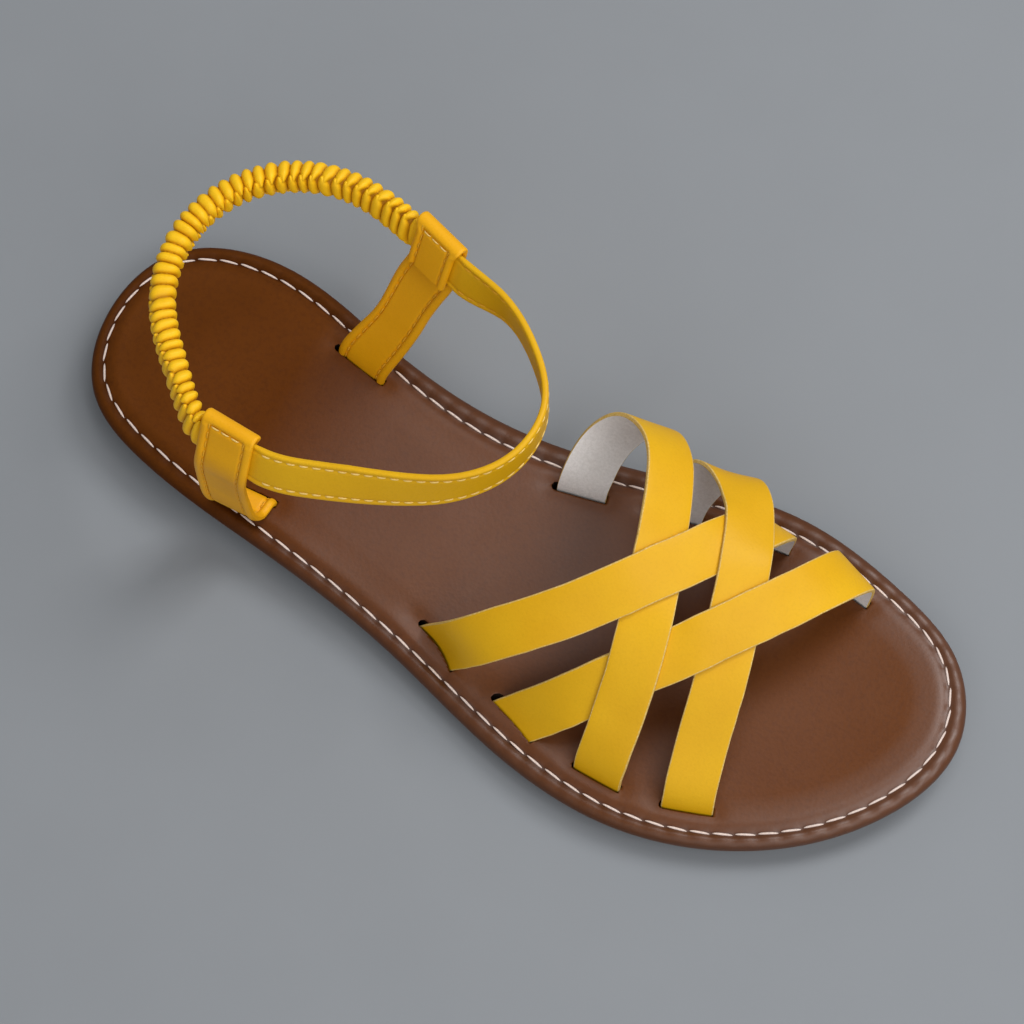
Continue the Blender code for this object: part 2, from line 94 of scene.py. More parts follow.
# Cubic spline through rows, evenly spaced along the first dims columns, closed or with free ends.
def splineThrough(rows, count, closed=False, dims=3):
    points = np.asarray(rows, float)
    total = len(points)
    spans = total if closed else total - 1
    after = np.roll(points, -1, axis=0)
    lengths = np.linalg.norm((after - points)[:spans, :dims], axis=1)
    matrix = np.eye(total)
    right = np.zeros(points.shape)
    for index in range(total):
        if not closed and index in (0, total - 1):
            continue
        before = index - 1
        matrix[index] = 0.0
        matrix[index, before] += lengths[before]
        matrix[index, index] += 2.0 * (lengths[before] + lengths[index])
        matrix[index, (index + 1) % total] += lengths[index]
        slopeAfter = (after[index] - points[index]) / lengths[index]
        slopeBefore = (points[index] - points[before]) / lengths[before]
        right[index] = 6.0 * (slopeAfter - slopeBefore)
    bends = np.linalg.solve(matrix, right)
    edges = np.concatenate([[0.0], np.cumsum(lengths)])
    place = np.linspace(0.0, edges[-1], count, endpoint=not closed)
    span = np.minimum(np.searchsorted(edges, place, side="right") - 1, spans - 1)
    following = (span + 1) % total
    size = lengths[span][:, None]
    passed = (place - edges[span])[:, None]
    left = size - passed
    value = (bends[span] * left ** 3 + bends[following] * passed ** 3) / (6.0 * size)
    value += (points[span] / size - bends[span] * size / 6.0) * left
    return value + (points[following] / size - bends[following] * size / 6.0) * passed


# The sole's outline moved inward, stretched where the rim is wider.
def outlineInset(distance, count):
    rows = splineThrough(sole["outline"], count, closed=True, dims=2)
    curve = rows[:, :2]
    along = np.roll(curve, -1, axis=0) - np.roll(curve, 1, axis=0)
    inward = np.stack([along[:, 1], -along[:, 0]], axis=1)
    inward /= np.linalg.norm(inward, axis=1)[:, None]
    rim = rows[:, 2]
    stitch = sole["stitchInset"]
    moved = distance * rim / stitch if distance < stitch else distance + rim - stitch
    return curve + moved[:, None] * inward


# The tables start at the heel. The frame starts under the middle of the sandal.
fineOutline = outlineInset(0.0, 960)
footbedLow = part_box("footbed")[0] / mm
toFrame = np.array([footbedLow.x - fineOutline[:, 0].min(), footbedLow.y - fineOutline[:, 1].min(), 0.0])


def unit(vectors):
    vectors = np.asarray(vectors, float)
    return vectors / np.linalg.norm(vectors, axis=-1, keepdims=True)


def pathTangents(path):
    return unit(np.gradient(path, axis=0))


def squareTo(directions, tangents):
    return unit(directions - np.sum(directions * tangents, axis=1)[:, None] * tangents)


def pathLengths(path):
    return np.concatenate([[0.0], np.cumsum(np.linalg.norm(np.diff(path, axis=0), axis=1))])


# Smooth random waviness along a run, the same on every run of the script.
def wander(count, step, seed):
    draw = random.Random(seed)
    knots = [draw.uniform(-1.0, 1.0) for _ in range(max(4, int(count / step) + 2))]
    return np.interp(np.linspace(0, len(knots) - 1, count), np.arange(len(knots)), knots)


def makeActive(piece):
    bpy.ops.object.select_all(action="DESELECT")
    piece.select_set(True)
    bpy.context.view_layer.objects.active = piece


def addNew(operator, **settings):
    bpy.ops.object.select_all(action="DESELECT")
    operator(**settings)
    return bpy.context.object


# Runs an edit-mode operator on the whole mesh of the active piece.
def editWhole(operator, **settings):
    bpy.ops.object.mode_set(mode="EDIT")
    bpy.ops.mesh.select_all(action="SELECT")
    operator(**settings)
    bpy.ops.object.mode_set(mode="OBJECT")


# A flat grid rolled up into a tube through the rings, with its seam merged and its ends closed.
def rollGrid(name, rings, aroundMaterial=None, uvAround=None, uvAlong=None, smoothAngle=40.0):
    rows, around = rings.shape[:2]
    piece = addNew(
        bpy.ops.mesh.primitive_grid_add, x_subdivisions=around, y_subdivisions=rows - 1, size=1.0)
    piece.name = name
    piece.data.name = name
    mesh = piece.data
    flat = np.empty(len(mesh.vertices) * 3)
    mesh.vertices.foreach_get("co", flat)
    flat = flat.reshape(-1, 3)
    column = np.rint((flat[:, 0] + 0.5) * around).astype(int)
    row = np.rint((flat[:, 1] + 0.5) * (rows - 1)).astype(int)
    place = (rings[row, column % around] + toFrame) * mm
    mesh.vertices.foreach_set("co", place.ravel())
    corner = np.empty(len(mesh.loops), dtype=np.int32)
    mesh.loops.foreach_get("vertex_index", corner)
    acrossShare = np.linspace(0.0, 1.0, around + 1) if uvAround is None else np.asarray(uvAround)
    alongShare = np.linspace(0.0, 1.0, rows) if uvAlong is None else np.asarray(uvAlong)
    acrossShare = np.broadcast_to(acrossShare, (rows, around + 1))
    uv = np.stack([acrossShare[row[corner], column[corner]], alongShare[row[corner]]], axis=1)
    mesh.uv_layers[0].data.foreach_set("uv", uv.ravel())
    if aroundMaterial is not None:
        firstColumn = column[corner].reshape(-1, 4).min(axis=1)
        mesh.polygons.foreach_set("material_index", np.asarray(aroundMaterial, dtype=np.int32)[firstColumn])
    mesh.update()
    editWhole(bpy.ops.mesh.remove_doubles, threshold=1e-6)
    bpy.ops.object.mode_set(mode="EDIT")
    bpy.ops.mesh.select_all(action="DESELECT")
    bpy.ops.mesh.select_mode(type="EDGE")
    bpy.ops.mesh.select_non_manifold(extend=False)
    bpy.ops.mesh.edge_face_add()
    bpy.ops.object.mode_set(mode="OBJECT")
    editWhole(bpy.ops.mesh.normals_make_consistent, inside=False)
    bpy.ops.object.shade_smooth_by_angle(angle=math.radians(smoothAngle))
    return piece


def applyBoolean(piece, operand, operation):
    makeActive(piece)
    step = piece.modifiers.new(operation.lower(), "BOOLEAN")
    step.operation = operation
    step.solver = "EXACT"
    step.object = operand
    bpy.ops.object.modifier_apply(modifier=step.name)
    bpy.data.objects.remove(operand, do_unlink=True)


def joinPieces(pieces, name):
    makeActive(pieces[0])
    for piece in pieces:
        piece.select_set(True)
    bpy.ops.object.join()
    pieces[0].name = name
    return pieces[0]


def dress(piece, materials, slotName, *nodes):
    for material in materials:
        piece.data.materials.append(material)
    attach(piece, "root")
    if nodes:
        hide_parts(*nodes)


# Materials
class Nodes:
    def __init__(self, name):
        self.material = bpy.data.materials.new(name)
        self.material.use_nodes = True
        self.tree = self.material.node_tree
        self.shader = self.tree.nodes["Principled BSDF"]

    # Links a node's output to a socket, or sets the socket to a plain value.
    def feed(self, socket, value):
        if isinstance(value, bpy.types.NodeSocket):
            self.tree.links.new(value, socket)
        else:
            socket.default_value = value

    def add(self, kind, sockets, **settings):
        node = self.tree.nodes.new("ShaderNode" + kind)
        for key, value in settings.items():
            setattr(node, key, value)
        for key, value in sockets.items():
            self.feed(node.inputs[key], value)
        return node

    def coords(self, kind="Object"):
        return self.add("TexCoord", {}).outputs[kind]

    def noise(self, vector, scale, detail=2.0, roughness=0.5):
        sockets = {"Vector": vector, "Scale": scale, "Detail": detail, "Roughness": roughness}
        return self.add("TexNoise", sockets).outputs["Fac"]

    def cells(self, vector, scale):
        return self.add("TexVoronoi", {"Vector": vector, "Scale": scale}).outputs["Distance"]

    def ramp(self, source, stops):
        node = self.add("ValToRGB", {"Fac": source})
        ramp = node.color_ramp
        while len(ramp.elements) < len(stops):
            ramp.elements.new(0.5)
        for element, (place, colour) in zip(ramp.elements, stops):
            element.position = place
            element.color = (*colour, 1.0)
        return node.outputs["Color"]

    def axis(self, vector, name):
        return self.add("SeparateXYZ", {"Vector": vector}).outputs[name]

    def span(self, source, low, high, start=0.0, end=1.0):
        sockets = {"Value": source, "From Min": start, "From Max": end, "To Min": low, "To Max": high}
        return self.add("MapRange", sockets).outputs["Result"]

    def mixed(self, first, second, factor, blend="MIX"):
        if isinstance(second, tuple):
            second = (*second, 1.0)
        sockets = {0: factor, 6: first, 7: second}
        return self.add("Mix", sockets, data_type="RGBA", blend_type=blend).outputs[2]

    def product(self, first, second):
        return self.add("Math", {0: first, 1: second}, operation="MULTIPLY").outputs["Value"]

    def bump(self, height, strength, distance, below=None):
        sockets = {"Height": height, "Strength": strength, "Distance": distance}
        if below is not None:
            sockets["Normal"] = below
        return self.add("Bump", sockets).outputs["Normal"]

    def finish(self, colour, normal, rough, specular=0.5, sheen=0.0):
        sockets = {"Base Color": colour, "Normal": normal, "Roughness": rough,
                   "Specular IOR Level": specular, "Sheen Weight": sheen}
        for name, value in sockets.items():
            self.feed(self.shader.inputs[name], value)
        return self.material


# The UV map's second share is the distance in from the sole's edge. It drives painted shade in the sewn
# channel, a painted highlight on the rim's rolled crest, and a rim darker partly by its own tone and partly
# by painted shade.
# The leatherette shines most at mid foot and round the toe's edge.
def brownLeatherette():
    look = Nodes("brown_leatherette")
    place = look.coords()
    mottle = look.noise(place, 22.0, 4.0, 0.55)
    colour = look.ramp(mottle, [(0.3, (0.112, 0.0300, 0.0030)), (0.7, (0.129, 0.0365, 0.0045))])
    specks = look.noise(place, 900.0, 2.0)
    colour = look.mixed(colour, (0.060, 0.017, 0.005), look.span(specks, -0.4, 0.5))
    inset = look.axis(look.coords("UV"), "Y")
    # Painted shade in the sewn channel and on the rim's flanks, and a painted highlight on the rim's rolled
    # crest.
    rim = look.ramp(inset, [
        (0.0, (0.62, 0.60, 0.58)), (0.075, (0.80, 0.80, 0.80)), (0.125, (0.62, 0.60, 0.58)),
        (0.16, (0.40, 0.36, 0.34)), (0.205, (0.84, 0.82, 0.80)), (0.34, (1.0, 1.0, 1.0))])
    forward = look.axis(place, "X")
    # The rim's painted shade and highlight fade by half toward the toe, where the light falls on the rim.
    colour = look.mixed(colour, rim, look.span(forward, 1.0, 0.5, 0.05, 0.11), "MULTIPLY")
    pores = look.cells(place, 1150.0)
    creases = look.noise(place, 260.0, 5.0, 0.6)
    normal = look.bump(pores, 0.1, 0.0002)
    normal = look.bump(creases, 0.12, 0.0003, normal)
    rough = look.span(look.noise(place, 60.0, 3.0), 0.38, 0.50)
    along = look.span(forward, 0.0, 1.0, -0.12, 0.12)
    gloss = look.ramp(along, [(stop, (level, level, level)) for stop, level in (
        (0.2, 0.05), (0.32, 0.36), (0.62, 0.44), (0.76, 0.26), (0.95, 0.15))])
    toeEdge = look.product(look.span(inset, 1.0, 0.0, 0.2, 0.65), look.span(forward, 0.0, 1.0, 0.05, 0.10))
    gloss = look.mixed(gloss, (0.7, 0.7, 0.7), toeEdge)
    return look.finish(colour, normal, rough, gloss)


# On the ruched band the UV map's first share is the height of the gathers; the creases between them get
# painted shade.
def yellowLeatherette(name, light, dark, grain, creaseShadePainted=False):
    look = Nodes(name)
    place = look.coords()
    cloud = look.noise(place, 40.0, 3.0, 0.55)
    colour = look.ramp(cloud, [(0.32, dark), (0.68, light)])
    fibre = look.noise(place, 1500.0, 2.0, 0.6)
    colour = look.mixed(colour, tuple(0.78 * part for part in dark), look.span(fibre, -0.35, 0.38))
    if creaseShadePainted:
        # Painted shade: the colour darkens and warms toward the bottom of each crease between gathers.
        depth = look.axis(look.coords("UV"), "X")
        shade = look.ramp(depth, [
            (0.0, (0.46, 0.33, 0.2)), (0.4, (0.80, 0.72, 0.6)), (0.75, (1.0, 1.0, 1.0))])
        colour = look.mixed(colour, shade, 1.0, "MULTIPLY")
    pores = look.cells(place, 1400.0)
    normal = look.bump(pores, grain, 0.00015)
    normal = look.bump(look.noise(place, 420.0, 4.0, 0.6), 0.18, 0.0002, normal)
    rough = look.span(cloud, 0.40, 0.54)
    return look.finish(colour, normal, rough, 0.24)


# A finish whose colour, relief and roughness all follow one fine noise.
def fibreFinish(name, grain, stops, relief, rough, specular):
    look = Nodes(name)
    fibres = look.noise(look.coords(), *grain)
    colour = look.ramp(fibres, stops)
    normal = look.bump(fibres, *relief)
    return look.finish(colour, normal, look.span(fibres, *rough), specular)


def thread(name, light, dark):
    stops = [(0.3, dark), (0.65, light)]
    return fibreFinish(name, (2200.0, 3.0, 0.7), stops, (0.5, 0.00015), (0.55, 0.75), 0.3)


def greyBacking():
    look = Nodes("pale_fabric_backing")
    place = look.coords()
    nap = look.noise(place, 1300.0, 4.0, 0.75)
    patches = look.noise(place, 120.0, 3.0)
    colour = look.ramp(nap, [(0.3, (0.80, 0.76, 0.725)), (0.62, (0.95, 0.91, 0.88))])
    colour = look.mixed(colour, (0.75, 0.71, 0.67), look.span(patches, -0.3, 0.6))
    normal = look.bump(nap, 0.6, 0.00025)
    rough = look.span(nap, 0.85, 1.0)
    return look.finish(colour, normal, rough, 0.15, sheen=0.25)


def soleRubber():
    look = Nodes("dark_sole_rubber")
    place = look.coords()
    dust = look.noise(place, 90.0, 4.0)
    colour = look.ramp(dust, [(0.3, (0.030, 0.015, 0.010)), (0.75, (0.055, 0.030, 0.020))])
    normal = look.bump(look.noise(place, 1600.0, 2.0), 0.3, 0.0002)
    rough = look.span(dust, 0.6, 0.8)
    return look.finish(colour, normal, rough, 0.35)


brown = brownLeatherette()
yellow = yellowLeatherette("yellow_leatherette", (0.77, 0.425, 0.005), (0.715, 0.372, 0.003), 0.12)
# The tab and ruched copies of the yellow leatherette are made lighter as painted light, standing in for light
# their faces lack.
yellowTabLitCopy = yellowLeatherette("yellow_leatherette_lit_copy_tab", (0.88, 0.43, 0.005), (0.81, 0.37, 0.003), 0.16)
yellowRuchedLitCopy = yellowLeatherette(
    "yellow_leatherette_lit_copy_ruched", (0.95, 0.55, 0.010), (0.87, 0.48, 0.006), 0.10, creaseShadePainted=True)
paleEdge = fibreFinish("raw_cut_edge", (1800.0, 3.0, 0.7), [
    (0.3, (0.56, 0.34, 0.06)), (0.55, (0.70, 0.47, 0.14)), (0.75, (0.80, 0.62, 0.32))],
    (0.5, 0.0002), (0.75, 0.95), 0.2)
backing = greyBacking()
whiteThread = thread("pale_thread", (0.84, 0.70, 0.63), (0.66, 0.52, 0.46))
tabThread = thread("tab_thread", (0.84, 0.45, 0.03), (0.70, 0.34, 0.01))
yellowThread = thread("yellow_thread", (0.98, 0.72, 0.26), (0.86, 0.56, 0.12))
rubber = soleRubber()
# Near-black for the slots' cut walls: painted shade inside the holes.
slotPaintedShade = fibreFinish("slot_inside_painted_shade", (1500.0, 2.0), [
    (0.3, (0.010, 0.006, 0.004)), (0.7, (0.022, 0.012, 0.008))], (0.3, 0.0002), (0.85, 1.0), 0.1)
print("materials made")

# Straps of the vamp, from the medial slot to the lateral slot: forward, medial, rise over the footbed, roll.
vamp = {
    "width": 13.2,
    "thickness": 1.15,
    "solidThickness": 1.6,
    "corner": 0.32,
    "crown": 0.12,
    "edgeWaver": 0.09,
    "sections": 200,
    "slotInset": 8.6,
    "slotReach": (20.0, 232.0),
    "mouthDepth": 1.2,
    "slantEndDepth": 3.7,
    "slantRun": 55.0,
    "sideRoom": 0.1,
    "cups": {"strap_rear_lateral": 1.3, "strap_mid_lateral": 0.3},
    "cupRun": 24.0,
    "slotCup": 0.8,
    "rearRoom": 1.5,
    "straightRoom": 0.6,
    "touchGap": 0.16,
    # crossing straps: share of the overlap taken in one round, and how the bend fades past the edge
    "bendRounds": 6,
    "bendStep": 0.6,
    "bendEdge": 0.8,
    "bendFade": 2.5,
    "bendSpread": 4.0,
    # strap that goes over, strap that goes under
    "crossings": [
        ("strap_rear_lateral", "strap_rear_medial"),
        ("strap_mid_medial", "strap_rear_lateral"),
        ("strap_rear_medial", "strap_mid_lateral"),
        ("strap_mid_lateral", "strap_mid_medial"),
    ],
    # medial slot, lateral slot, turn and slant of the lateral end, rows
    "straps": {
        "strap_rear_lateral": (181.2, 120.3, -15.0, -0.4, [
            (182.8, 36.8, 17.4, -7.5), (179.5, 29.0, 28.5, -15.5), (171.7, 16.4, 33.9, -21.0),
            (162.2, 3.3, 35.7, -19.0), (151.2, -8.9, 32.0, -5.0), (139.2, -18.7, 25.0, 11.5),
            (128.2, -25.0, 14.2, 25.5)]),
        "strap_mid_lateral": (205.4, 146.5, -7.0, -0.5, [
            (206.2, 36.4, 13.3, -21.5), (202.7, 28.8, 23.0, -25.5), (195.8, 16.8, 28.5, -22.0),
            (186.5, 3.9, 29.5, -17.5), (176.5, -8.2, 26.6, -10.0), (166.1, -18.6, 20.9, 1.0),
            (156.3, -27.2, 11.7, 15.5)]),
        "strap_rear_medial": (133.2, 171.2, 0.0, 0.0, [
            (135.3, 39.4, 14.0, 23.0), (143.7, 43.8, 25.6, 11.0), (152.5, 37.8, 33.7, -16.5),
            (159.3, 23.9, 36.9, -28.5), (164.8, 7.0, 34.5, -20.0), (168.8, -9.8, 28.0, -7.0),
            (170.8, -24.9, 16.4, 0.5)]),
        "strap_mid_medial": (157.7, 195.0, 0.0, 0.0, [
            (161.2, 42.0, 12.5, 13.5), (170.0, 42.0, 22.2, 8.5), (177.5, 33.4, 28.2, -9.0),
            (182.7, 20.3, 31.5, -14.5), (187.0, 5.3, 28.4, -14.5), (190.3, -9.6, 21.6, -14.5),
            (192.5, -23.1, 11.8, -13.5)]),
    },
}

medialCurve, lateralCurve = np.split(outlineInset(vamp["slotInset"], 800), 2)


# How far to the medial side the line of slots lies at a place along the sole.
def edgePlace(forward, side):
    half = medialCurve if side > 0 else lateralCurve
    first, last = vamp["slotReach"]
    half = half[(half[:, 0] > first) & (half[:, 0] < last)]
    half = half[np.argsort(half[:, 0])]
    return float(np.interp(forward, half[:, 0], half[:, 1]))


# A slanted end leaves its slot at an angle and goes on straight below the footbed's top.
def vampPath(medialSlot, lateralSlot, lateralTurn, lateralSlant, rows):
    ends = []
    for forward, side, turn, slant, near in ((medialSlot, 1.0, 0.0, 0.0, rows[0]),
                                             (lateralSlot, -1.0, lateralTurn, lateralSlant, rows[-1])):
        slope = (edgePlace(forward + 1.0, side) - edgePlace(forward - 1.0, side)) / 2.0
        roll = side * (math.degrees(math.atan(slope)) + turn)
        slot = np.array([forward, edgePlace(forward, side)])
        lean = (slot - near[:2]) / near[2] if slant else np.zeros(2)
        endDepth = vamp["slantEndDepth"] if slant else sole["footbedThickness"]
        ends.append([(*(slot + depth * lean), float(footbedTop(forward)) - depth, roll)
                     for depth in (endDepth, vamp["mouthDepth"])])
    middle = [(row[0], row[1], float(footbedTop(row[0])) + row[2], row[3]) for row in rows]
    curve = splineThrough(ends[0] + middle + ends[1][::-1], vamp["sections"])
    path = curve[:, :3]
    roll = np.radians(curve[:, 3])[:, None]
    tangents = pathTangents(path)
    level = squareTo(np.tile([1.0, 0.0, 0.0], (len(path), 1)), tangents)
    across = np.cos(roll) * level + np.sin(roll) * np.cross(tangents, level)
    toEnd = pathLengths(path[::-1])[::-1]
    across = across + lateralSlant * smoothStep(1.0 - toEnd / vamp["slantRun"])[:, None] * tangents
    return path, across, np.cross(tangents, across)


# Section of a flat strip, as offsets and heights, and its materials: face, cut edge, back, cut edge.
def stripSection(width, thickness, corner, crown):
    half = width / 2.0
    top = thickness / 2.0
    face = [(share * (half - corner), top + crown * (1.0 - share ** 4))
            for share in np.linspace(-1.0, 1.0, 15)]
    edge = [(half - corner + corner * math.cos(turn), top - corner + corner * math.sin(turn))
            for turn in np.radians([60.0, 30.0, 0.0])]
    edge.append((half - 0.05, -top + 0.1))
    back = [(share * (half - 0.15), -top) for share in np.linspace(1.0, -1.0, 7)]
    mirrored = [(-offset, height) for offset, height in edge[::-1]]
    edgeFaces = [1] * (len(edge) + 1)
    materials = [0] * (len(face) - 1) + edgeFaces + [2] * (len(back) - 1) + edgeFaces
    return face + edge + back + mirrored, materials


# A strip along a path. The section's offsets lie across it and its heights along the normal.
def stripRings(path, across, normal, section, leftWander=None, rightWander=None, relief=0.0):
    offsets, heights = np.array(section).T
    heights = heights[None, :] + relief
    spread = np.tile(offsets, (len(path), 1))
    if leftWander is not None:
        edges = np.where(offsets < 0, leftWander[:, None], rightWander[:, None])
        spread += edges * np.abs(offsets) / offsets.max()
    return path[:, None] + spread[..., None] * across[:, None] + heights[..., None] * normal[:, None]


def sectionRun(section):
    return pathLengths(np.array(section + section[:1])) * mm


# How far a slot's cut starts below the strip's end, and ends above the footbed's top.
slots = {
    "below": 4.0,
    "above": 2.6,
    "sections": 9,
}
slotCuts = []
slotPlaces = []


# The slot that an end of a strip goes through, as a solid to cut with.
def slotForm(path, across, normal, rear, front, thickness, cup=0.0):
    clear = path[:, 2] > footbedTop(path[:, 0]) + slots["above"]
    count = int(np.argmax(clear)) + 1
    places = np.concatenate([path[:1] - [0.0, 0.0, slots["below"]], path[:count]])
    sides = np.concatenate([across[:1], across[:count]])
    faces = np.concatenate([normal[:1], normal[:count]])
    half = thickness / 2.0 + joinGap
    centre = half - rear
    outline = [(offset, -half) for offset in np.linspace(front, centre, 7)]
    for turn in np.radians([-130.0, -180.0, -230.0]):
        outline.append((centre + half * math.cos(turn), half * math.sin(turn)))
    outline += [(offset, half) for offset in np.linspace(centre, front, 7)]
    section = [(offset, level - cup * max(0.0, 1.0 - (offset / front) ** 2)) for offset, level in outline]
    keep = np.linspace(0, count, slots["sections"]).astype(int)
    rings = stripRings(places[keep], sides[keep], faces[keep], section)
    # Its faces take the second material, the painted shade of the slot's walls.
    slotCuts.append(rollGrid("slot_form", rings, aroundMaterial=[1] * len(section)))
    start = path[0]
    slotPlaces.append((start[:2] - across[0][:2] * rear, start[:2] + across[0][:2] * front))


# Where one strap crosses over another, the two bend apart until their faces only touch.
def bendApart(over, under, gap):
    half = vamp["width"] / 2.0
    offsets = np.linspace(-half, half, 9)
    for mover, other, way in ((under, over, -1.0), (over, under, 1.0)):
        path, across, normal = mover["path"], mover["across"], mover["normal"]
        points = path[:, None] + offsets[None, :, None] * across[:, None]
        against = (other["path"][:, None] + offsets[None, :, None] * other["across"][:, None]).reshape(-1, 3)
        facing = np.repeat(other["normal"], len(offsets), axis=0)
        lift = np.zeros(points.shape[:2])
        for row in range(len(points)):
            away = points[row][:, None] - against[None]
            nearest = np.argmin(np.linalg.norm(away, axis=2), axis=1)
            step = away[np.arange(len(offsets)), nearest]
            level = np.sum(step * facing[nearest], axis=1)
            beside = np.linalg.norm(step - level[:, None] * facing[nearest], axis=1)
            fade = 1.0 - smoothStep((beside - vamp["bendEdge"]) / vamp["bendFade"])
            lift[row] = fade * np.maximum(0.0, gap - way * level)
        spread = np.exp(-0.5 * (np.arange(-12, 13) / vamp["bendSpread"]) ** 2)
        spread /= spread.sum()
        mean = np.convolve(lift.mean(axis=1), spread, mode="same")
        tilt = np.convolve((lift * offsets).sum(axis=1) / (offsets ** 2).sum(), spread, mode="same")
        mover["path"] = path + way * vamp["bendStep"] * mean[:, None] * normal
        mover["across"] = across + way * vamp["bendStep"] * tilt[:, None] * normal
        mover["normal"] = unit(np.cross(pathTangents(mover["path"]), mover["across"]))


runs = {}
for name, strap in vamp["straps"].items():
    runs[name] = dict(zip(("path", "across", "normal"), vampPath(*strap)))
for turn in range(vamp["bendRounds"]):
    for over, under in vamp["crossings"]:
        bendApart(runs[over], runs[under], vamp["thickness"] + vamp["touchGap"])
half = vamp["width"] / 2.0
vampSection, vampMaterials = stripSection(vamp["width"], vamp["thickness"], vamp["corner"], vamp["crown"])
bow = 1.0 - (np.array(vampSection)[:, 0] / half) ** 2
for number, name in enumerate(vamp["straps"]):
    path, across, normal = runs[name].values()
    leftWander = vamp["edgeWaver"] * wander(len(path), 7, 10 + number)
    rightWander = vamp["edgeWaver"] * wander(len(path), 6, 20 + number)
    cup = vamp["cups"].get(name, 0.0)
    toEnd = pathLengths(path[::-1])[::-1]
    relief = -cup * np.outer(smoothStep(1.0 - toEnd / vamp["cupRun"]), bow)
    rings = stripRings(path, across, normal, vampSection, leftWander, rightWander, relief)
    piece = rollGrid(name, rings, vampMaterials, sectionRun(vampSection), pathLengths(path) * mm)
    dress(piece, [yellow, paleEdge, backing], "vamp_straps", "vamp_straps")
    medialRear = half + vamp["rearRoom"]
    lateralRear = half + (vamp["rearRoom"] if cup else vamp["straightRoom"])
    front = half + vamp["sideRoom"]
    thickness = vamp["solidThickness"]
    slotForm(path, across, normal, medialRear, front, thickness)
    slotForm(path[::-1], across[::-1], normal[::-1], lateralRear, front, thickness, vamp["slotCup"] * cup)
print("vamp straps made")

# Ankle loop: forward, medial, rise over the heel's footbed, lean of the upper edge to the medial side.
loop = {
    "strapWidth": 12.0,
    "strapThickness": 1.6,
    "strapSections": 240,
    "strapReach": 9.2,
    "seamInset": 1.65,
    "groove": 0.26,
    "edgeRise": 0.04,
    "puff": 0.1,
    "edgeWaver": 0.06,
    # length, width and dip of a stitch, and the distance from one to the next
    "stitch": (2.4, 0.56, 0.26),
    "stitchPitch": 3.3,
    "stitchStart": 9.0,
    "stitchSunk": 0.06,
    # the strap is flatter inside the tabs: how far, over what run and by how much
    "flatReach": 7.6,
    "flatRun": 2.0,
    "flatDepth": 0.2,
    "strapRows": [
        (102.1, 45.9, 49.8, 8.0), (116.5, 36.5, 52.2, 3.0), (125.5, 23.8, 54.1, 2.0), (124.8, 9.6, 54.5, 4.0),
        (115.4, -2.0, 53.1, 11.0), (100.1, -9.4, 51.0, 22.0), (83.3, -14.8, 48.5, 29.0)],
    "elasticSide": (9.2, 4.4),
    "elasticBack": (7.4, 6.2),
    "elasticEnd": (10.4, 1.6),
    "elasticSwell": (0.1, 2.6),
    "elasticRound": 32.0,
    "elasticReach": 7.4,
    "elasticRows": [
        (55.2, 57.7, 46.8, 20.0), (40.8, 54.8, 46.5, 16.0), (29.4, 46.3, 46.3, 14.0),
        (22.7, 33.6, 46.1, 14.0), (22.4, 18.8, 46.0, 14.0), (28.6, 5.2, 46.0, 16.0),
        (37.3, -4.2, 46.0, 20.0), (46.2, -12.7, 46.0, 26.0)],
    "middle": (70.0, 18.0, 0.0),
}
tabs = {
    "width": 15.2,
    "thickness": 1.3,
    "flap": 7.0,
    "legSections": 150,
    "seamInset": 2.5,
    "groove": 0.55,
    "edgeRise": 0.4,
    "puff": 0.05,
    "edgeWaver": 0.08,
    "seamStop": 2.8,
    "seamFade": 0.8,
    # where the stitches start on the front and back of the leg, and stop on the flap and the cross seam
    "frontStart": 6.0,
    "backStart": 3.5,
    "flapStop": 0.5,
    "crossStop": 0.3,
    "crossHalf": 0.45,
    "stitchSunk": 0.12,
    # the back of the leg is sewn up to a little below the strap
    "legGap": 4.0,
    "legFade": 3.0,
    "sideStitch": (2.5, 0.46, 0.25),
    "sidePitch": 3.2,
    "crossStitch": (2.4, 0.5, 0.25),
    "crossPitch": 2.9,
    "waistPlace": 27.0,
    "waistRun": 11.0,
    "mouthDepth": 0.9,
    "flapInset": 1.0,
    "flapStart": 1.0,
    "flapFade": 4.0,
    "foldGap": 0.15,
    "ankle_tab_medial": {
        "slot": (66.8, 31.4, 0.0),
        "slotRun": (0.981, -0.195, 0.0),
        "centre": (80.4, 52.0, 46.4, 25.0),
        "run": (0.94, -0.335, 0.06),
        "leg": [(69.5, 34.8, 9.0), (73.6, 40.8, 20.5), (77.4, 47.4, 32.5)],
        "waist": 1.3,
        "crossSeam": 2.8,
        "creases": [(24.0, 0.3, 4.0, 0.12)],
    },
    "ankle_tab_lateral": {
        "slot": (58.0, -12.3, 0.0),
        "slotRun": (0.999, 0.03, 0.0),
        "centre": (59.2, -16.7, 46.2, 29.0),
        "run": (0.99, -0.09, 0.05),
        "leg": [(58.0, -13.0, 0.95), (57.9, -14.7, 1.5), (57.7, -16.9, 2.1), (57.5, -18.6, 4.2),
                (57.3, -20.0, 8.8), (57.3, -20.6, 19.0), (57.8, -21.0, 31.0)],
        "waist": 0.0,
        "crossSeam": -2.8,
        # place along the tab, slope across it, width and depth of a soft crease
        "creases": [(43.0, 0.25, 2.6, 0.18), (30.0, -0.2, 3.2, 0.14)],
    },
}
tabOffset = loop["strapThickness"] / 2.0 + tabs["foldGap"] + tabs["thickness"] / 2.0


def loopPoint(row):
    return np.array([row[0], row[1], heelTop + row[2]])


def leanVector(lean):
    return np.array([0.0, math.sin(math.radians(lean)), math.cos(math.radians(lean))])


def tabFrame(tab):
    run = unit(tab["run"])
    upright = leanVector(tab["centre"][3])
    up = unit(upright - np.dot(upright, run) * run)
    out = np.cross(run, up)
    centre = loopPoint(tab["centre"])
    if np.dot(out, centre - np.array(loop["middle"])) < 0.0:
        out = -out
    return centre, run, up, out


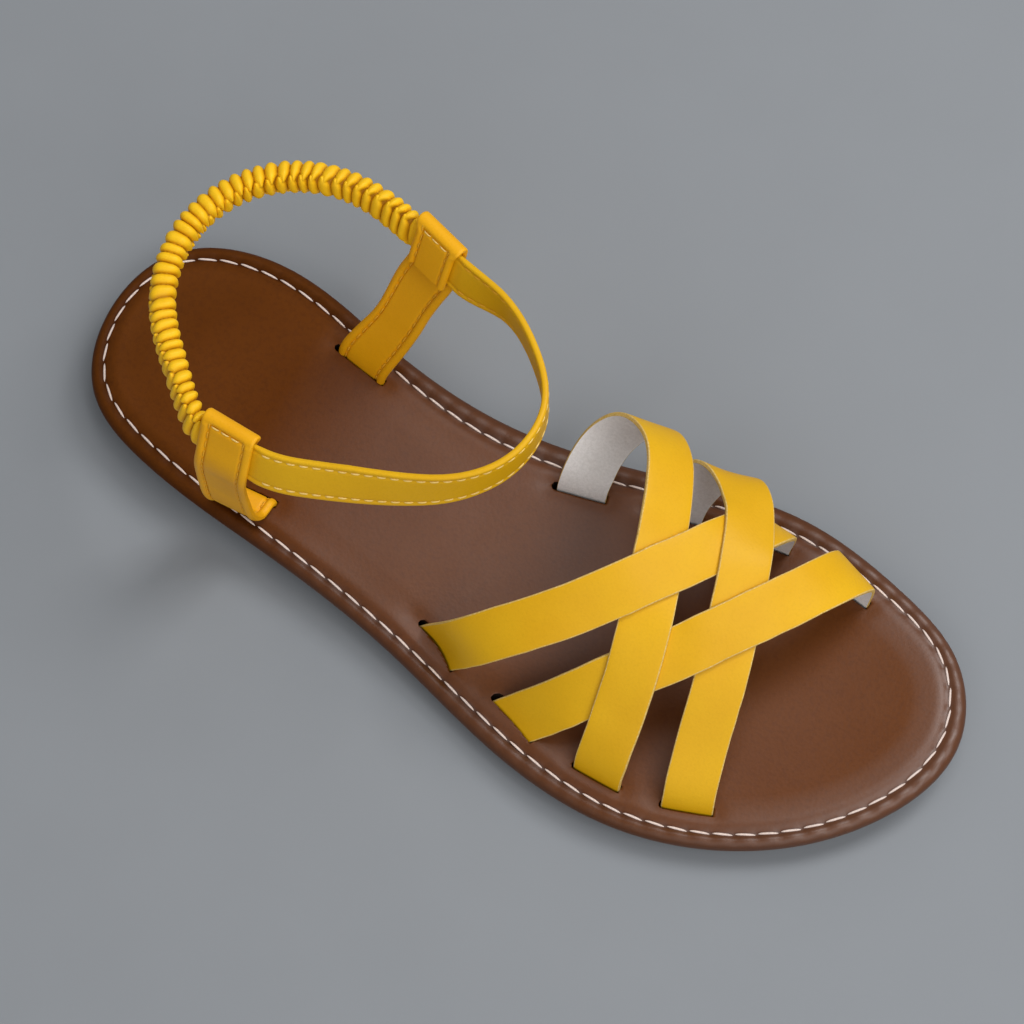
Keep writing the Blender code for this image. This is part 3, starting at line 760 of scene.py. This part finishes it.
def tabPath(tab):
    centre, run, up, out = tabFrame(tab)
    slot = loopPoint(tab["slot"])
    half = loop["strapWidth"] / 2.0
    rows = [slot - [0.0, 0.0, sole["footbedThickness"]], slot - [0.0, 0.0, tabs["mouthDepth"]]]
    rows += [loopPoint(row) for row in tab["leg"]]
    rows += [centre + tabOffset * out + share * half * up for share in (-0.7, 0.0, 0.5, 0.9, 1.0)]
    leg = splineThrough(rows, tabs["legSections"])
    fold = []
    for angle in np.linspace(0.0, math.pi, 17)[1:]:
        fold.append(centre + half * up + tabOffset * (math.cos(angle) * out + math.sin(angle) * up))
    flap = [centre - tabOffset * out + level * up for level in np.linspace(half, -tabs["flap"], 26)[1:]]
    path = np.concatenate([leg, fold, flap])
    share = np.clip((path[:, 2] - slot[2]) / (centre[2] - half - slot[2]), 0.0, 1.0)[:, None]
    wanted = (1.0 - share) * unit(tab["slotRun"]) + share * run
    tangents = pathTangents(path)
    across = squareTo(wanted, tangents)
    normal = np.cross(tangents, across)
    middle = tabs["legSections"] // 2
    if np.dot(normal[middle], out) < 0.0:
        normal = -normal
    return path, across, normal


def halfLoop(innerRows, side, reach, count):
    ends = []
    for name in ("ankle_tab_medial", "ankle_tab_lateral"):
        centre, run = tabFrame(tabs[name])[:2]
        places = [centre + side * distance * run for distance in (joinGap / 2.0, reach / 2.0, reach)]
        ends.append([(*place, tabs[name]["centre"][3]) for place in places])
    table = ends[0] + [(*loopPoint(row), row[3]) for row in innerRows] + ends[1][::-1]
    curve = splineThrough(table, count)
    path = curve[:, :3]
    tangents = pathTangents(path)
    across = squareTo(np.array([leanVector(lean) for lean in curve[:, 3]]), tangents)
    return path, across, side * np.cross(across, tangents)


# One stitch, copied along a seam: a short twisted thread, thin at the ends where it dips into its holes.
def stitchModel(length, width, dip):
    model = addNew(bpy.ops.mesh.primitive_uv_sphere_add,
                   segments=6, ring_count=8, radius=0.5, rotation=(0.0, math.pi / 2.0, 0.0))
    bpy.ops.object.transform_apply(location=False, rotation=True, scale=False)
    for vert in model.data.vertices:
        share = 2.0 * vert.co.x
        fullness = (1.0 - abs(share) ** 3.2) ** 0.6 / max(1e-4, (1.0 - share * share) ** 0.5)
        twist = 1.0 + 0.07 * math.sin(9.0 * share + 2.0 * math.atan2(vert.co.z, vert.co.y))
        vert.co.y *= width * fullness * twist
        vert.co.z = vert.co.z * width * 0.75 * fullness * twist - dip * share ** 4
        vert.co.x *= length
    bpy.ops.object.shade_smooth()
    return model


# Sews seams of places, runs and faces with a stitch of some length, width and dip.
def sewSeams(name, seams, stitch, material, slotName):
    model = stitchModel(*stitch)
    copies = []
    for places, runs, faces in seams:
        for place, run, face in zip(places, runs, faces):
            xAxis = Vector(unit(run))
            zAxis = Vector(unit(face - np.dot(face, unit(run)) * unit(run)))
            yAxis = zAxis.cross(xAxis)
            turn = Matrix((xAxis, yAxis, zAxis)).transposed().to_4x4()
            copy = model.copy()
            copy.data = model.data.copy()
            bpy.context.scene.collection.objects.link(copy)
            copy.data.transform(Matrix.Scale(mm, 4))
            copy.data.transform(Matrix.Translation((place + toFrame) * mm) @ turn)
            copies.append(copy)
    bpy.data.objects.remove(model, do_unlink=True)
    dress(joinPieces(copies, name), [material], slotName)


def sampleAt(marks, run, values):
    return np.stack([np.interp(marks, run, column) for column in values.T], axis=1)


# A seam with a stitch every pitch along a path, moved across it and out of its face.
def alongPath(path, across, normal, offset, height, pitch, start, end):
    line = path + offset * across + height * normal
    run = pathLengths(line)
    count = int((run[-1] - start - end) / pitch)
    marks = start + pitch * (np.arange(count) + 0.5)
    return [sampleAt(marks, run, values) for values in (line, pathTangents(line), normal)]


# Section of a strip with turned edges: on both faces a sewn groove inside each raised edge.
def turnedSection(width, thickness, seamInset, groove, edgeRise, puff):
    half = width / 2.0
    top = thickness / 2.0
    edgeRound = 0.7
    grooveHalf = 0.4
    points = []
    for face in (1.0, -1.0):
        for place in np.linspace(-1.0, 1.0, 53):
            offset = face * place * (half - 0.1)
            fromEdge = half - abs(offset)
            bend = max(0.0, 1.0 - fromEdge / edgeRound)
            height = top - top * (1.0 - math.sqrt(max(0.0, 1.0 - bend * bend)))
            relief = edgeRise * math.exp(-((fromEdge - 0.55 * seamInset) / (0.4 * seamInset)) ** 2)
            relief -= groove * math.exp(-((fromEdge - seamInset) / grooveHalf) ** 2)
            relief += puff * max(0.0, 1.0 - (offset / (half - seamInset)) ** 2)
            points.append((offset, face * (height + relief)))
    return points


path, across, normal = halfLoop(loop["strapRows"], 1.0, loop["strapReach"], loop["strapSections"])
run = pathLengths(path)
ankleSection = turnedSection(loop["strapWidth"], loop["strapThickness"], loop["seamInset"],
                             loop["groove"], loop["edgeRise"], loop["puff"])
inTab = 1.0 - smoothStep((np.minimum(run, run[::-1]) - loop["flatReach"]) / loop["flatRun"])
flatten = -np.outer(inTab, loop["flatDepth"] * np.sign(np.array(ankleSection)[:, 1]))
leftWander = loop["edgeWaver"] * wander(len(path), 9, 31)
rightWander = loop["edgeWaver"] * wander(len(path), 8, 32)
rings = stripRings(path, across, normal, ankleSection, leftWander, rightWander, flatten)
ankleStrap = rollGrid("ankle_strap_band", rings, None, sectionRun(ankleSection), run * mm)
dress(ankleStrap, [yellow], "ankle_strap", "ankle_strap")
seamAt = loop["strapWidth"] / 2.0 - loop["seamInset"]
seamHeight = loop["strapThickness"] / 2.0 - loop["stitchSunk"]
for face, label, colour in ((1.0, "outer", yellowThread), (-1.0, "inner", tabThread)):
    seams = [alongPath(path, across, face * normal, offset, seamHeight, loop["stitchPitch"],
                       loop["stitchStart"], loop["stitchStart"]) for offset in (-seamAt, seamAt)]
    sewSeams("ankle_strap_stitches_" + label, seams, loop["stitch"], colour, "ankle_strap")
print("ankle strap made")

# Tabs: a cross seam closes the stitched box, below the lateral tab's fold and on the medial tab's flap.
tabSection = turnedSection(tabs["width"], tabs["thickness"], tabs["seamInset"], 0.0, 0.0, 0.0)
sewnSection = turnedSection(tabs["width"], tabs["thickness"], tabs["seamInset"],
                            tabs["groove"], tabs["edgeRise"], tabs["puff"])
tabOffsets, tabHeights = np.array(tabSection).T
tabFaces = np.sign(tabHeights)
sewnRelief = np.array(sewnSection)[:, 1] - tabHeights
half = tabs["width"] / 2.0
seamAt = half - tabs["seamInset"]
inside = np.clip((seamAt - np.abs(tabOffsets)) / 0.5, 0.0, 1.0) * (tabFaces > 0.0)
for name in ("ankle_tab_medial", "ankle_tab_lateral"):
    tab = tabs[name]
    path, across, normal = tabPath(tab)
    run = pathLengths(path)
    foldTop = run[tabs["legSections"] + 7]
    crossAt = foldTop + tab["crossSeam"]
    legEnd = foldTop - loop["strapWidth"] - tabs["legGap"]
    seamEnd = min(crossAt, foldTop - tabs["seamStop"])
    fade = tabs["seamFade"]
    sewn = 1.0 - smoothStep((run - seamEnd + fade / 2.0) / fade)
    if tab["crossSeam"] > 0.0:
        sewn += smoothStep((run - crossAt + fade / 2.0) / fade)
    relief = np.outer(sewn, sewnRelief * (tabFaces > 0.0))
    relief += np.outer(1.0 - smoothStep((run - legEnd) / tabs["legFade"]), sewnRelief * (tabFaces < 0.0))
    relief -= tabs["groove"] * np.outer(np.exp(-((run - crossAt) / tabs["crossHalf"]) ** 2), inside)
    for place, slope, width, depth in tab["creases"]:
        trough = run[:, None] - place - slope * tabOffsets[None, :]
        relief -= tabFaces * depth * np.exp(-(trough / width) ** 2) * (np.abs(tabOffsets) < seamAt)
    waist = tab["waist"] * np.exp(-((run - tabs["waistPlace"]) / tabs["waistRun"]) ** 2)
    narrow = tabs["flapInset"] * smoothStep((run - foldTop - tabs["flapStart"]) / tabs["flapFade"])
    leftWander = waist + narrow + tabs["edgeWaver"] * wander(len(path), 11, 41)
    rightWander = tabs["edgeWaver"] * wander(len(path), 12, 42) - narrow
    rings = stripRings(path, across, normal, tabSection, leftWander, rightWander, relief)
    piece = rollGrid(name + "_band", rings, None, sectionRun(tabSection), run * mm)
    dress(piece, [yellowTabLitCopy], "ankle_tabs", name)
    slotForm(path, across, normal, half + vamp["rearRoom"], half, tabs["thickness"])
    level = tabs["thickness"] / 2.0 - tabs["stitchSunk"]
    seams = []
    pitch = tabs["sidePitch"]
    inShare = seamAt / half
    for offset in (seamAt - inShare * narrow[:, None], inShare * (waist + narrow)[:, None] - seamAt):
        if tab["crossSeam"] > 0.0:
            seams.append(alongPath(path, across, normal, offset, level, pitch, crossAt, tabs["flapStop"]))
        for face, first, last in ((1.0, tabs["frontStart"], seamEnd), (-1.0, tabs["backStart"], legEnd)):
            seams.append(alongPath(path, across, face * normal, offset, level, pitch, first, run[-1] - last))
    sewSeams(name + "_side_stitches", seams, tabs["sideStitch"], tabThread, "ankle_tabs")
    row = int(np.argmin(np.abs(run - crossAt)))
    reach = seamAt - inShare * narrow[row]
    line = path[row] + np.linspace(-reach, reach, 12)[:, None] * across[row]
    faces = np.tile(normal[row], (12, 1))
    crossSeam = alongPath(line, faces, faces, 0.0, level + 0.04, tabs["crossPitch"],
                          tabs["crossStop"], tabs["crossStop"])
    sewSeams(name + "_cross_stitches", [crossSeam], tabs["crossStitch"], yellowThread, "ankle_tabs")
print("side tabs made")

# Ruched elastic: two rows of gathers, one over the top and one below, that meet like tongues along two lines.
ruche = {
    "sections": 1100,
    "around": 64,
    "gathers": 47,
    "depth": 1.3,
    "square": 0.7,
    "phaseWaver": 0.2,
    "overlap": 0.45,
    "tongueFade": 0.3,
    "bottom": 0.72,
    "endFade": 1.2,
    "swell": 0.18,
    "sway": 0.1,
    # share of the run, inner and outer meeting line and length of the tongues in degrees round the band,
    # slant of the upper and lower row
    "rows": [(0.0, -38.0, 120.0, 60.0, 0.3, -0.3), (0.22, -45.0, 120.0, 64.0, 0.2, -0.2),
             (0.42, -60.0, 120.0, 60.0, 0.05, 0.0), (0.56, -120.0, 110.0, 44.0, -0.05, 0.0),
             (0.7, -140.0, 84.0, 36.0, -0.1, -0.05), (0.82, -145.0, 58.0, 34.0, -0.12, -0.1),
             (1.0, -145.0, 52.0, 34.0, -0.14, -0.1)],
}


# A row of rounded gathers. Past its meeting line each one narrows to a tongue.
def gatherRow(place, reach):
    past = ruche["overlap"] + reach
    fullHalf = 0.5 * np.clip(past, 0.02, 1.0) ** 0.7
    height = np.clip(1.0 - ((place % 1.0 - 0.5) / fullHalf) ** 2, 0.0, 1.0) ** 0.8
    return height * smoothStep(past / ruche["tongueFade"])


path, across, normal = halfLoop(loop["elasticRows"], -1.0, loop["elasticReach"], ruche["sections"])
run = pathLengths(path)
fromTab = np.minimum(run, run[-1] - run) - tabs["width"] / 2.0
grown = smoothStep((fromTab - loop["elasticSwell"][0]) / loop["elasticSwell"][1])[:, None]
rounded = smoothStep(fromTab / loop["elasticRound"])[:, None]
size = np.array(loop["elasticSide"]) + rounded * (np.array(loop["elasticBack"]) - loop["elasticSide"])
size = np.array(loop["elasticEnd"]) + grown * (size - loop["elasticEnd"])
gathered = smoothStep(fromTab / ruche["endFade"])
phase = ruche["gathers"] * run / run[-1] + ruche["phaseWaver"] * wander(len(run), 44, 51)
swell = 1.0 + ruche["swell"] * wander(len(run), 16, 52)
table = np.array(ruche["rows"]).T
inner, outer, tongue, upperSlant, lowerSlant = (np.interp(run / run[-1], table[0], row) for row in table[1:])
rings = np.zeros((ruche["sections"], ruche["around"], 3))
heights = np.zeros((ruche["sections"], ruche["around"] + 1))
upSway = ruche["sway"] * wander(len(run), 24, 60)
sideSway = ruche["sway"] * wander(len(run), 24, 61)
for step in range(ruche["around"]):
    angle = 2.0 * math.pi * (step + 0.5) / ruche["around"]
    degrees = (math.degrees(angle) + 160.0) % 360.0 - 160.0
    roundUp = math.copysign(abs(math.cos(angle)) ** ruche["square"], math.cos(angle))
    roundOut = math.copysign(abs(math.sin(angle)) ** ruche["square"], math.sin(angle))
    upperSide = np.minimum(degrees - inner, outer - degrees) / tongue
    loose = phase + upSway * math.cos(angle) + sideSway * math.sin(angle)
    upper = gatherRow(loose + upperSlant * degrees / 60.0, upperSide)
    lower = gatherRow(loose + 0.5 + lowerSlant * degrees / 60.0, -upperSide)
    fold = np.maximum(upper, lower)
    heights[:, step] = 1.0 - gathered * (1.0 - fold)
    push = gathered * ruche["depth"] * swell * (fold - ruche["bottom"])
    rings[:, step] = path + ((0.5 * size[:, 0] + push) * roundUp)[:, None] * across
    rings[:, step] += ((0.5 * size[:, 1] + push) * roundOut)[:, None] * normal
heights[:, -1] = heights[:, 0]
# The gathers' heights go into the UV map, where they drive the painted shade in the creases.
elastic = rollGrid("heel_elastic_ruched", rings, None, heights, run * mm, 80.0)
dress(elastic, [yellowRuchedLitCopy], "heel_elastic", "heel_elastic")
print("elastic made")

# Footbed: wrapped board with a rolled rim, a sewn channel and a soft middle.
footbed = {
    "around": 720,
    "rimRows": 46,
    "innerRows": 18,
    "topLevel": 2.0,
    "stitches": 98,
    "stitch": (5.2, 0.62, 0.35),
    "stitchTurn": 3.0,
    "stitchSunk": 0.44,
    "pucker": 0.2,
    "puckerRow": 20,
    "puckerStart": 185.0,
    "puckerRun": 45.0,
    "puckerLeast": 0.45,
    "rollInset": 1.6,
    "rollHalf": 1.1,
    "channelHalf": 0.75,
    "holeDip": 0.36,
    "slotDip": 0.5,
    "slotDipRun": 2.8,
    "insetScale": 20.0,
    # distance in from the edge and height over the underside
    "rim": [(8.0, 0.0), (1.3, 0.0), (0.45, 0.45), (0.05, 1.3), (0.0, 2.3), (0.3, 3.5), (1.0, 4.35),
            (2.1, 4.7), (3.0, 4.3), (3.8, 4.3), (5.0, 4.75), (8.0, 4.95), (14.0, 5.0)],
}


# Rings from the underside's middle line round the edge to the top's middle line, with their levels.
def layerRings(profile, innerRows, sideInset, base, around):
    rings = [outlineInset(inset + sideInset, around) for inset, level in profile]
    shares = np.linspace(0.0, 1.0, innerRows + 1)[1:]
    toMiddle = []
    for ring in (rings[0], rings[-1]):
        middle = 0.5 * (ring + np.roll(ring[::-1], 1, axis=0))
        toMiddle.append([ring * (1.0 - share) + middle * share for share in shares])
    flat = np.array(toMiddle[0][::-1] + rings + toMiddle[1])
    levels = np.pad([level for inset, level in profile], innerRows, mode="edge")
    return flat, levels, soleLift(flat[..., 0]) + base + levels[:, None]


profile = splineThrough(footbed["rim"], footbed["rimRows"], dims=2)
footbedBase = sole["outsoleThickness"] + joinGap
flat, levels, rise = layerRings(profile, footbed["innerRows"], 0.0, footbedBase, footbed["around"])
stitchLine = outlineInset(sole["stitchInset"], footbed["around"])
closedLine = np.concatenate([stitchLine, stitchLine[:1]])
stitchRun = pathLengths(closedLine)
stitchPhase = footbed["stitches"] * stitchRun[:-1] / stitchRun[-1]
hole = 0.5 + 0.5 * np.cos(2.0 * math.pi * (stitchPhase - 0.5))
rimStart = footbed["innerRows"]
insets = np.full(len(flat), footbed["insetScale"])
insets[rimStart:rimStart + footbed["rimRows"]] = profile[:, 0]
onTop = levels > footbed["topLevel"]
rimForward = flat[rimStart + footbed["puckerRow"]][:, 0]
toToe = (rimForward - footbed["puckerStart"]) / footbed["puckerRun"]
bunch = footbed["puckerLeast"] + (1.0 - footbed["puckerLeast"]) * np.clip(toToe, 0.0, 1.0)
for row in np.nonzero(onTop)[0]:
    channel = math.exp(-((insets[row] - sole["stitchInset"]) / footbed["channelHalf"]) ** 2)
    roll = math.exp(-((insets[row] - footbed["rollInset"]) / footbed["rollHalf"]) ** 2)
    rise[row] -= footbed["holeDip"] * channel * hole ** 3
    rise[row] += footbed["pucker"] * roll * bunch * (1.0 - 2.0 * hole)
    near = np.full(footbed["around"], np.inf)
    for start, end in slotPlaces:
        line = end - start
        share = np.clip(((flat[row] - start) @ line) / (line @ line), 0.0, 1.0)
        near = np.minimum(near, np.linalg.norm(flat[row] - start - share[:, None] * line, axis=1))
    rise[row] -= footbed["slotDip"] * np.exp(-(near / footbed["slotDipRun"]) ** 2)
rings = np.concatenate([flat, rise[..., None]], axis=2)
# The inset share goes into the UV map, where it drives the painted shade and highlight of the rim and
# channel.
insetShare = np.where(onTop, insets / footbed["insetScale"], 1.0)
footbedPiece = rollGrid("footbed_wrapped", rings, [0] * footbed["around"], None, insetShare, 50.0)
# The cut walls of the slots take the near-black material, painted shade inside the holes.
for piece in [footbedPiece] + slotCuts:
    piece.data.materials.append(brown)
    piece.data.materials.append(slotPaintedShade)
applyBoolean(footbedPiece, joinPieces(slotCuts, "slot_forms"), "DIFFERENCE")
dress(footbedPiece, [], "footbed", "footbed")


# Points of the stitch line on the footbed's top.
def stitchPlaces(marks):
    points = sampleAt(marks % stitchRun[-1], stitchRun, closedLine)
    level = footbedTop(points[:, 0]) - footbed["stitchSunk"]
    return np.concatenate([points, level[:, None]], axis=1)


marks = np.arange(footbed["stitches"]) * stitchRun[-1] / footbed["stitches"]
places = stitchPlaces(marks)
runs = stitchPlaces(marks + 1.0) - places
askew = math.tan(math.radians(footbed["stitchTurn"]))
runs[:, :2] += askew * np.stack([runs[:, 1], -runs[:, 0]], axis=1)
faces = np.tile([0.0, 0.0, 1.0], (len(places), 1))
sewSeams("footbed_stitches", [(places, runs, faces)], footbed["stitch"], whiteThread, "footbed")
print("footbed made")

# Outsole: thin rubber with a low heel block and wavy grooves underneath.
outsole = {
    "around": 360,
    "innerRows": 10,
    "blockAround": 240,
    "breastCut": (300.0, 300.0, 100.0),
    "rim": [(8.0, 0.0), (0.7, 0.0), (0.2, 0.2), (0.0, 0.7), (0.0, 1.5), (0.25, 1.75), (0.0, 2.0), (0.0, 3.0),
            (0.5, 3.5), (8.0, 3.5)],
    "groovePitch": 6.0,
    "grooveWidth": 1.3,
    "grooveDepth": 0.8,
    "grooveBelow": 2.0,
    "grooveMargin": 9.0,
    "grooveWave": 1.4,
    "grooveWaveRun": 3.4,
    "grooveSpan": (14.0, 236.0),
    "grooveCuts": 23,
    "breastMargin": 4.0,
}
flat, levels, rise = layerRings(
    outsole["rim"], outsole["innerRows"], sole["outsoleInset"], 0.0, outsole["around"])
outsolePiece = rollGrid("outsole_rubber", np.concatenate([flat, rise[..., None]], axis=2))
blockRings = []
for level in (0.0, 1.0):
    inset = sole["heelBlockInset"] + sole["heelBlockDraft"] * (1.0 - level)
    ring = outlineInset(inset, outsole["blockAround"])
    tall = level * (soleLift(ring[:, 0]) + sole["heelBlockSunk"])
    blockRings.append(np.concatenate([ring, tall[:, None]], axis=1))
heelBlock = rollGrid("heel_block", np.array(blockRings))
breastMiddle = sole["heelBreast"] + outsole["breastCut"][0] / 2.0 + toFrame[0]
breast = addNew(bpy.ops.mesh.primitive_cube_add, size=1.0, location=(breastMiddle * mm, 0.0, 0.0))
breast.scale = Vector(outsole["breastCut"]) * mm
bpy.ops.object.transform_apply(location=True, rotation=True, scale=True)
applyBoolean(heelBlock, breast, "DIFFERENCE")
applyBoolean(outsolePiece, heelBlock, "UNION")
grooves = []
inner = outlineInset(outsole["grooveMargin"], 720)
for forward in np.arange(*outsole["grooveSpan"], outsole["groovePitch"]):
    if abs(forward - sole["heelBreast"]) < outsole["breastMargin"]:
        continue
    crossing = inner[np.abs(inner[:, 0] - forward) < 1.2][:, 1]
    low, high = crossing.min(), crossing.max()
    under = 0.0 if forward < sole["heelBreast"] else float(soleLift(forward))
    groove = addNew(bpy.ops.mesh.primitive_cube_add, size=1.0)
    editWhole(bpy.ops.mesh.subdivide, number_cuts=outsole["grooveCuts"])
    for vert in groove.data.vertices:
        y = low + (vert.co.y + 0.5) * (high - low)
        wave = outsole["grooveWave"] * math.sin(y / outsole["grooveWaveRun"])
        x = forward + vert.co.x * outsole["grooveWidth"] + wave
        z = under + (outsole["grooveDepth"] if vert.co.z > 0.0 else -outsole["grooveBelow"])
        vert.co = (np.array([x, y, z]) + toFrame) * mm
    editWhole(bpy.ops.mesh.dissolve_limited, angle_limit=math.radians(0.5))
    grooves.append(groove)
applyBoolean(outsolePiece, joinPieces(grooves, "grooves"), "DIFFERENCE")
dress(outsolePiece, [rubber], "outsole", "outsole")
print("outsole made")

# Floor, lights and camera
studio = {
    "floorColour": (0.246, 0.260, 0.278),
    # place, size, power and target
    "lights": {
        "key_softbox": ((0.38, 0.74, 1.05), 0.5, 7.0, (0.0, 0.0, 0.02)),
        "fill_softbox": ((0.45, -0.95, 0.75), 1.2, 4.8, (0.0, 0.0, 0.02)),
        "sheen_softbox": ((0.02, 0.36, 1.15), 0.45, 2.6, (0.0, 0.0, 0.02)),
        "toe_softbox": ((0.62, -0.12, 0.85), 0.5, 3.0, (0.1, -0.01, 0.01)),
    },
    "worldColour": (0.66, 0.67, 0.68),
    "worldStrength": 0.45,
}
floor = addNew(bpy.ops.mesh.primitive_plane_add, size=6.0, location=(0.0, 0.0, -0.0002))
floor.name = "floor"
floorLook = Nodes("pale_floor")
grainy = floorLook.noise(floorLook.coords(), 30.0, 3.0)
shade = floorLook.ramp(grainy, [(0.3, tuple(0.97 * part for part in studio["floorColour"])),
                                (0.7, studio["floorColour"])])
floorNormal = floorLook.bump(floorLook.noise(floorLook.coords(), 900.0, 2.0), 0.05, 0.0002)
floor.data.materials.append(floorLook.finish(shade, floorNormal, floorLook.span(grainy, 0.8, 0.9)))
for name, (place, size, power, target) in studio["lights"].items():
    light = addNew(bpy.ops.object.light_add, type="AREA", location=place)
    light.name = name
    light.data.size = size
    light.data.energy = power
    light.rotation_euler = (Vector(target) - Vector(place)).to_track_quat("-Z", "Y").to_euler()
world = bpy.data.worlds.new("soft_studio")
bpy.context.scene.world = world
world.use_nodes = True
background = world.node_tree.nodes["Background"]
background.inputs["Color"].default_value = (*studio["worldColour"], 1.0)
background.inputs["Strength"].default_value = studio["worldStrength"]
bpy.context.scene.view_settings.view_transform = "Standard"

# The camera stands where the photograph was taken from, turned to the sandal.
cameraSet = {
    "position": (158.76, -247.75, 894.47),
    "heading": 116.714,
    "pitch": 66.3785,
    "roll": -0.369,
    "lens": 128.0,
    "aim": (-2.0, 4.0, 22.0),
}
camera = addNew(bpy.ops.object.camera_add)
heading, pitch, roll = (math.radians(cameraSet[name]) for name in ("heading", "pitch", "roll"))
ahead = Vector((math.cos(heading) * math.cos(pitch), math.sin(heading) * math.cos(pitch), -math.sin(pitch)))
right = Vector((math.sin(heading), -math.cos(heading), 0.0))
down = ahead.cross(right)
photoUp = math.sin(roll) * right - math.cos(roll) * down
position = Vector(cameraSet["position"]) * mm
aim = (Vector(cameraSet["aim"]) * mm - position).normalized()
side = aim.cross(photoUp).normalized()
up = side.cross(aim)
camera.location = position
camera.rotation_euler = Matrix((side, up, -aim)).transposed().to_euler()
camera.data.lens = cameraSet["lens"]
camera.data.sensor_width = 36.0
bpy.context.scene.camera = camera

print("stage set")
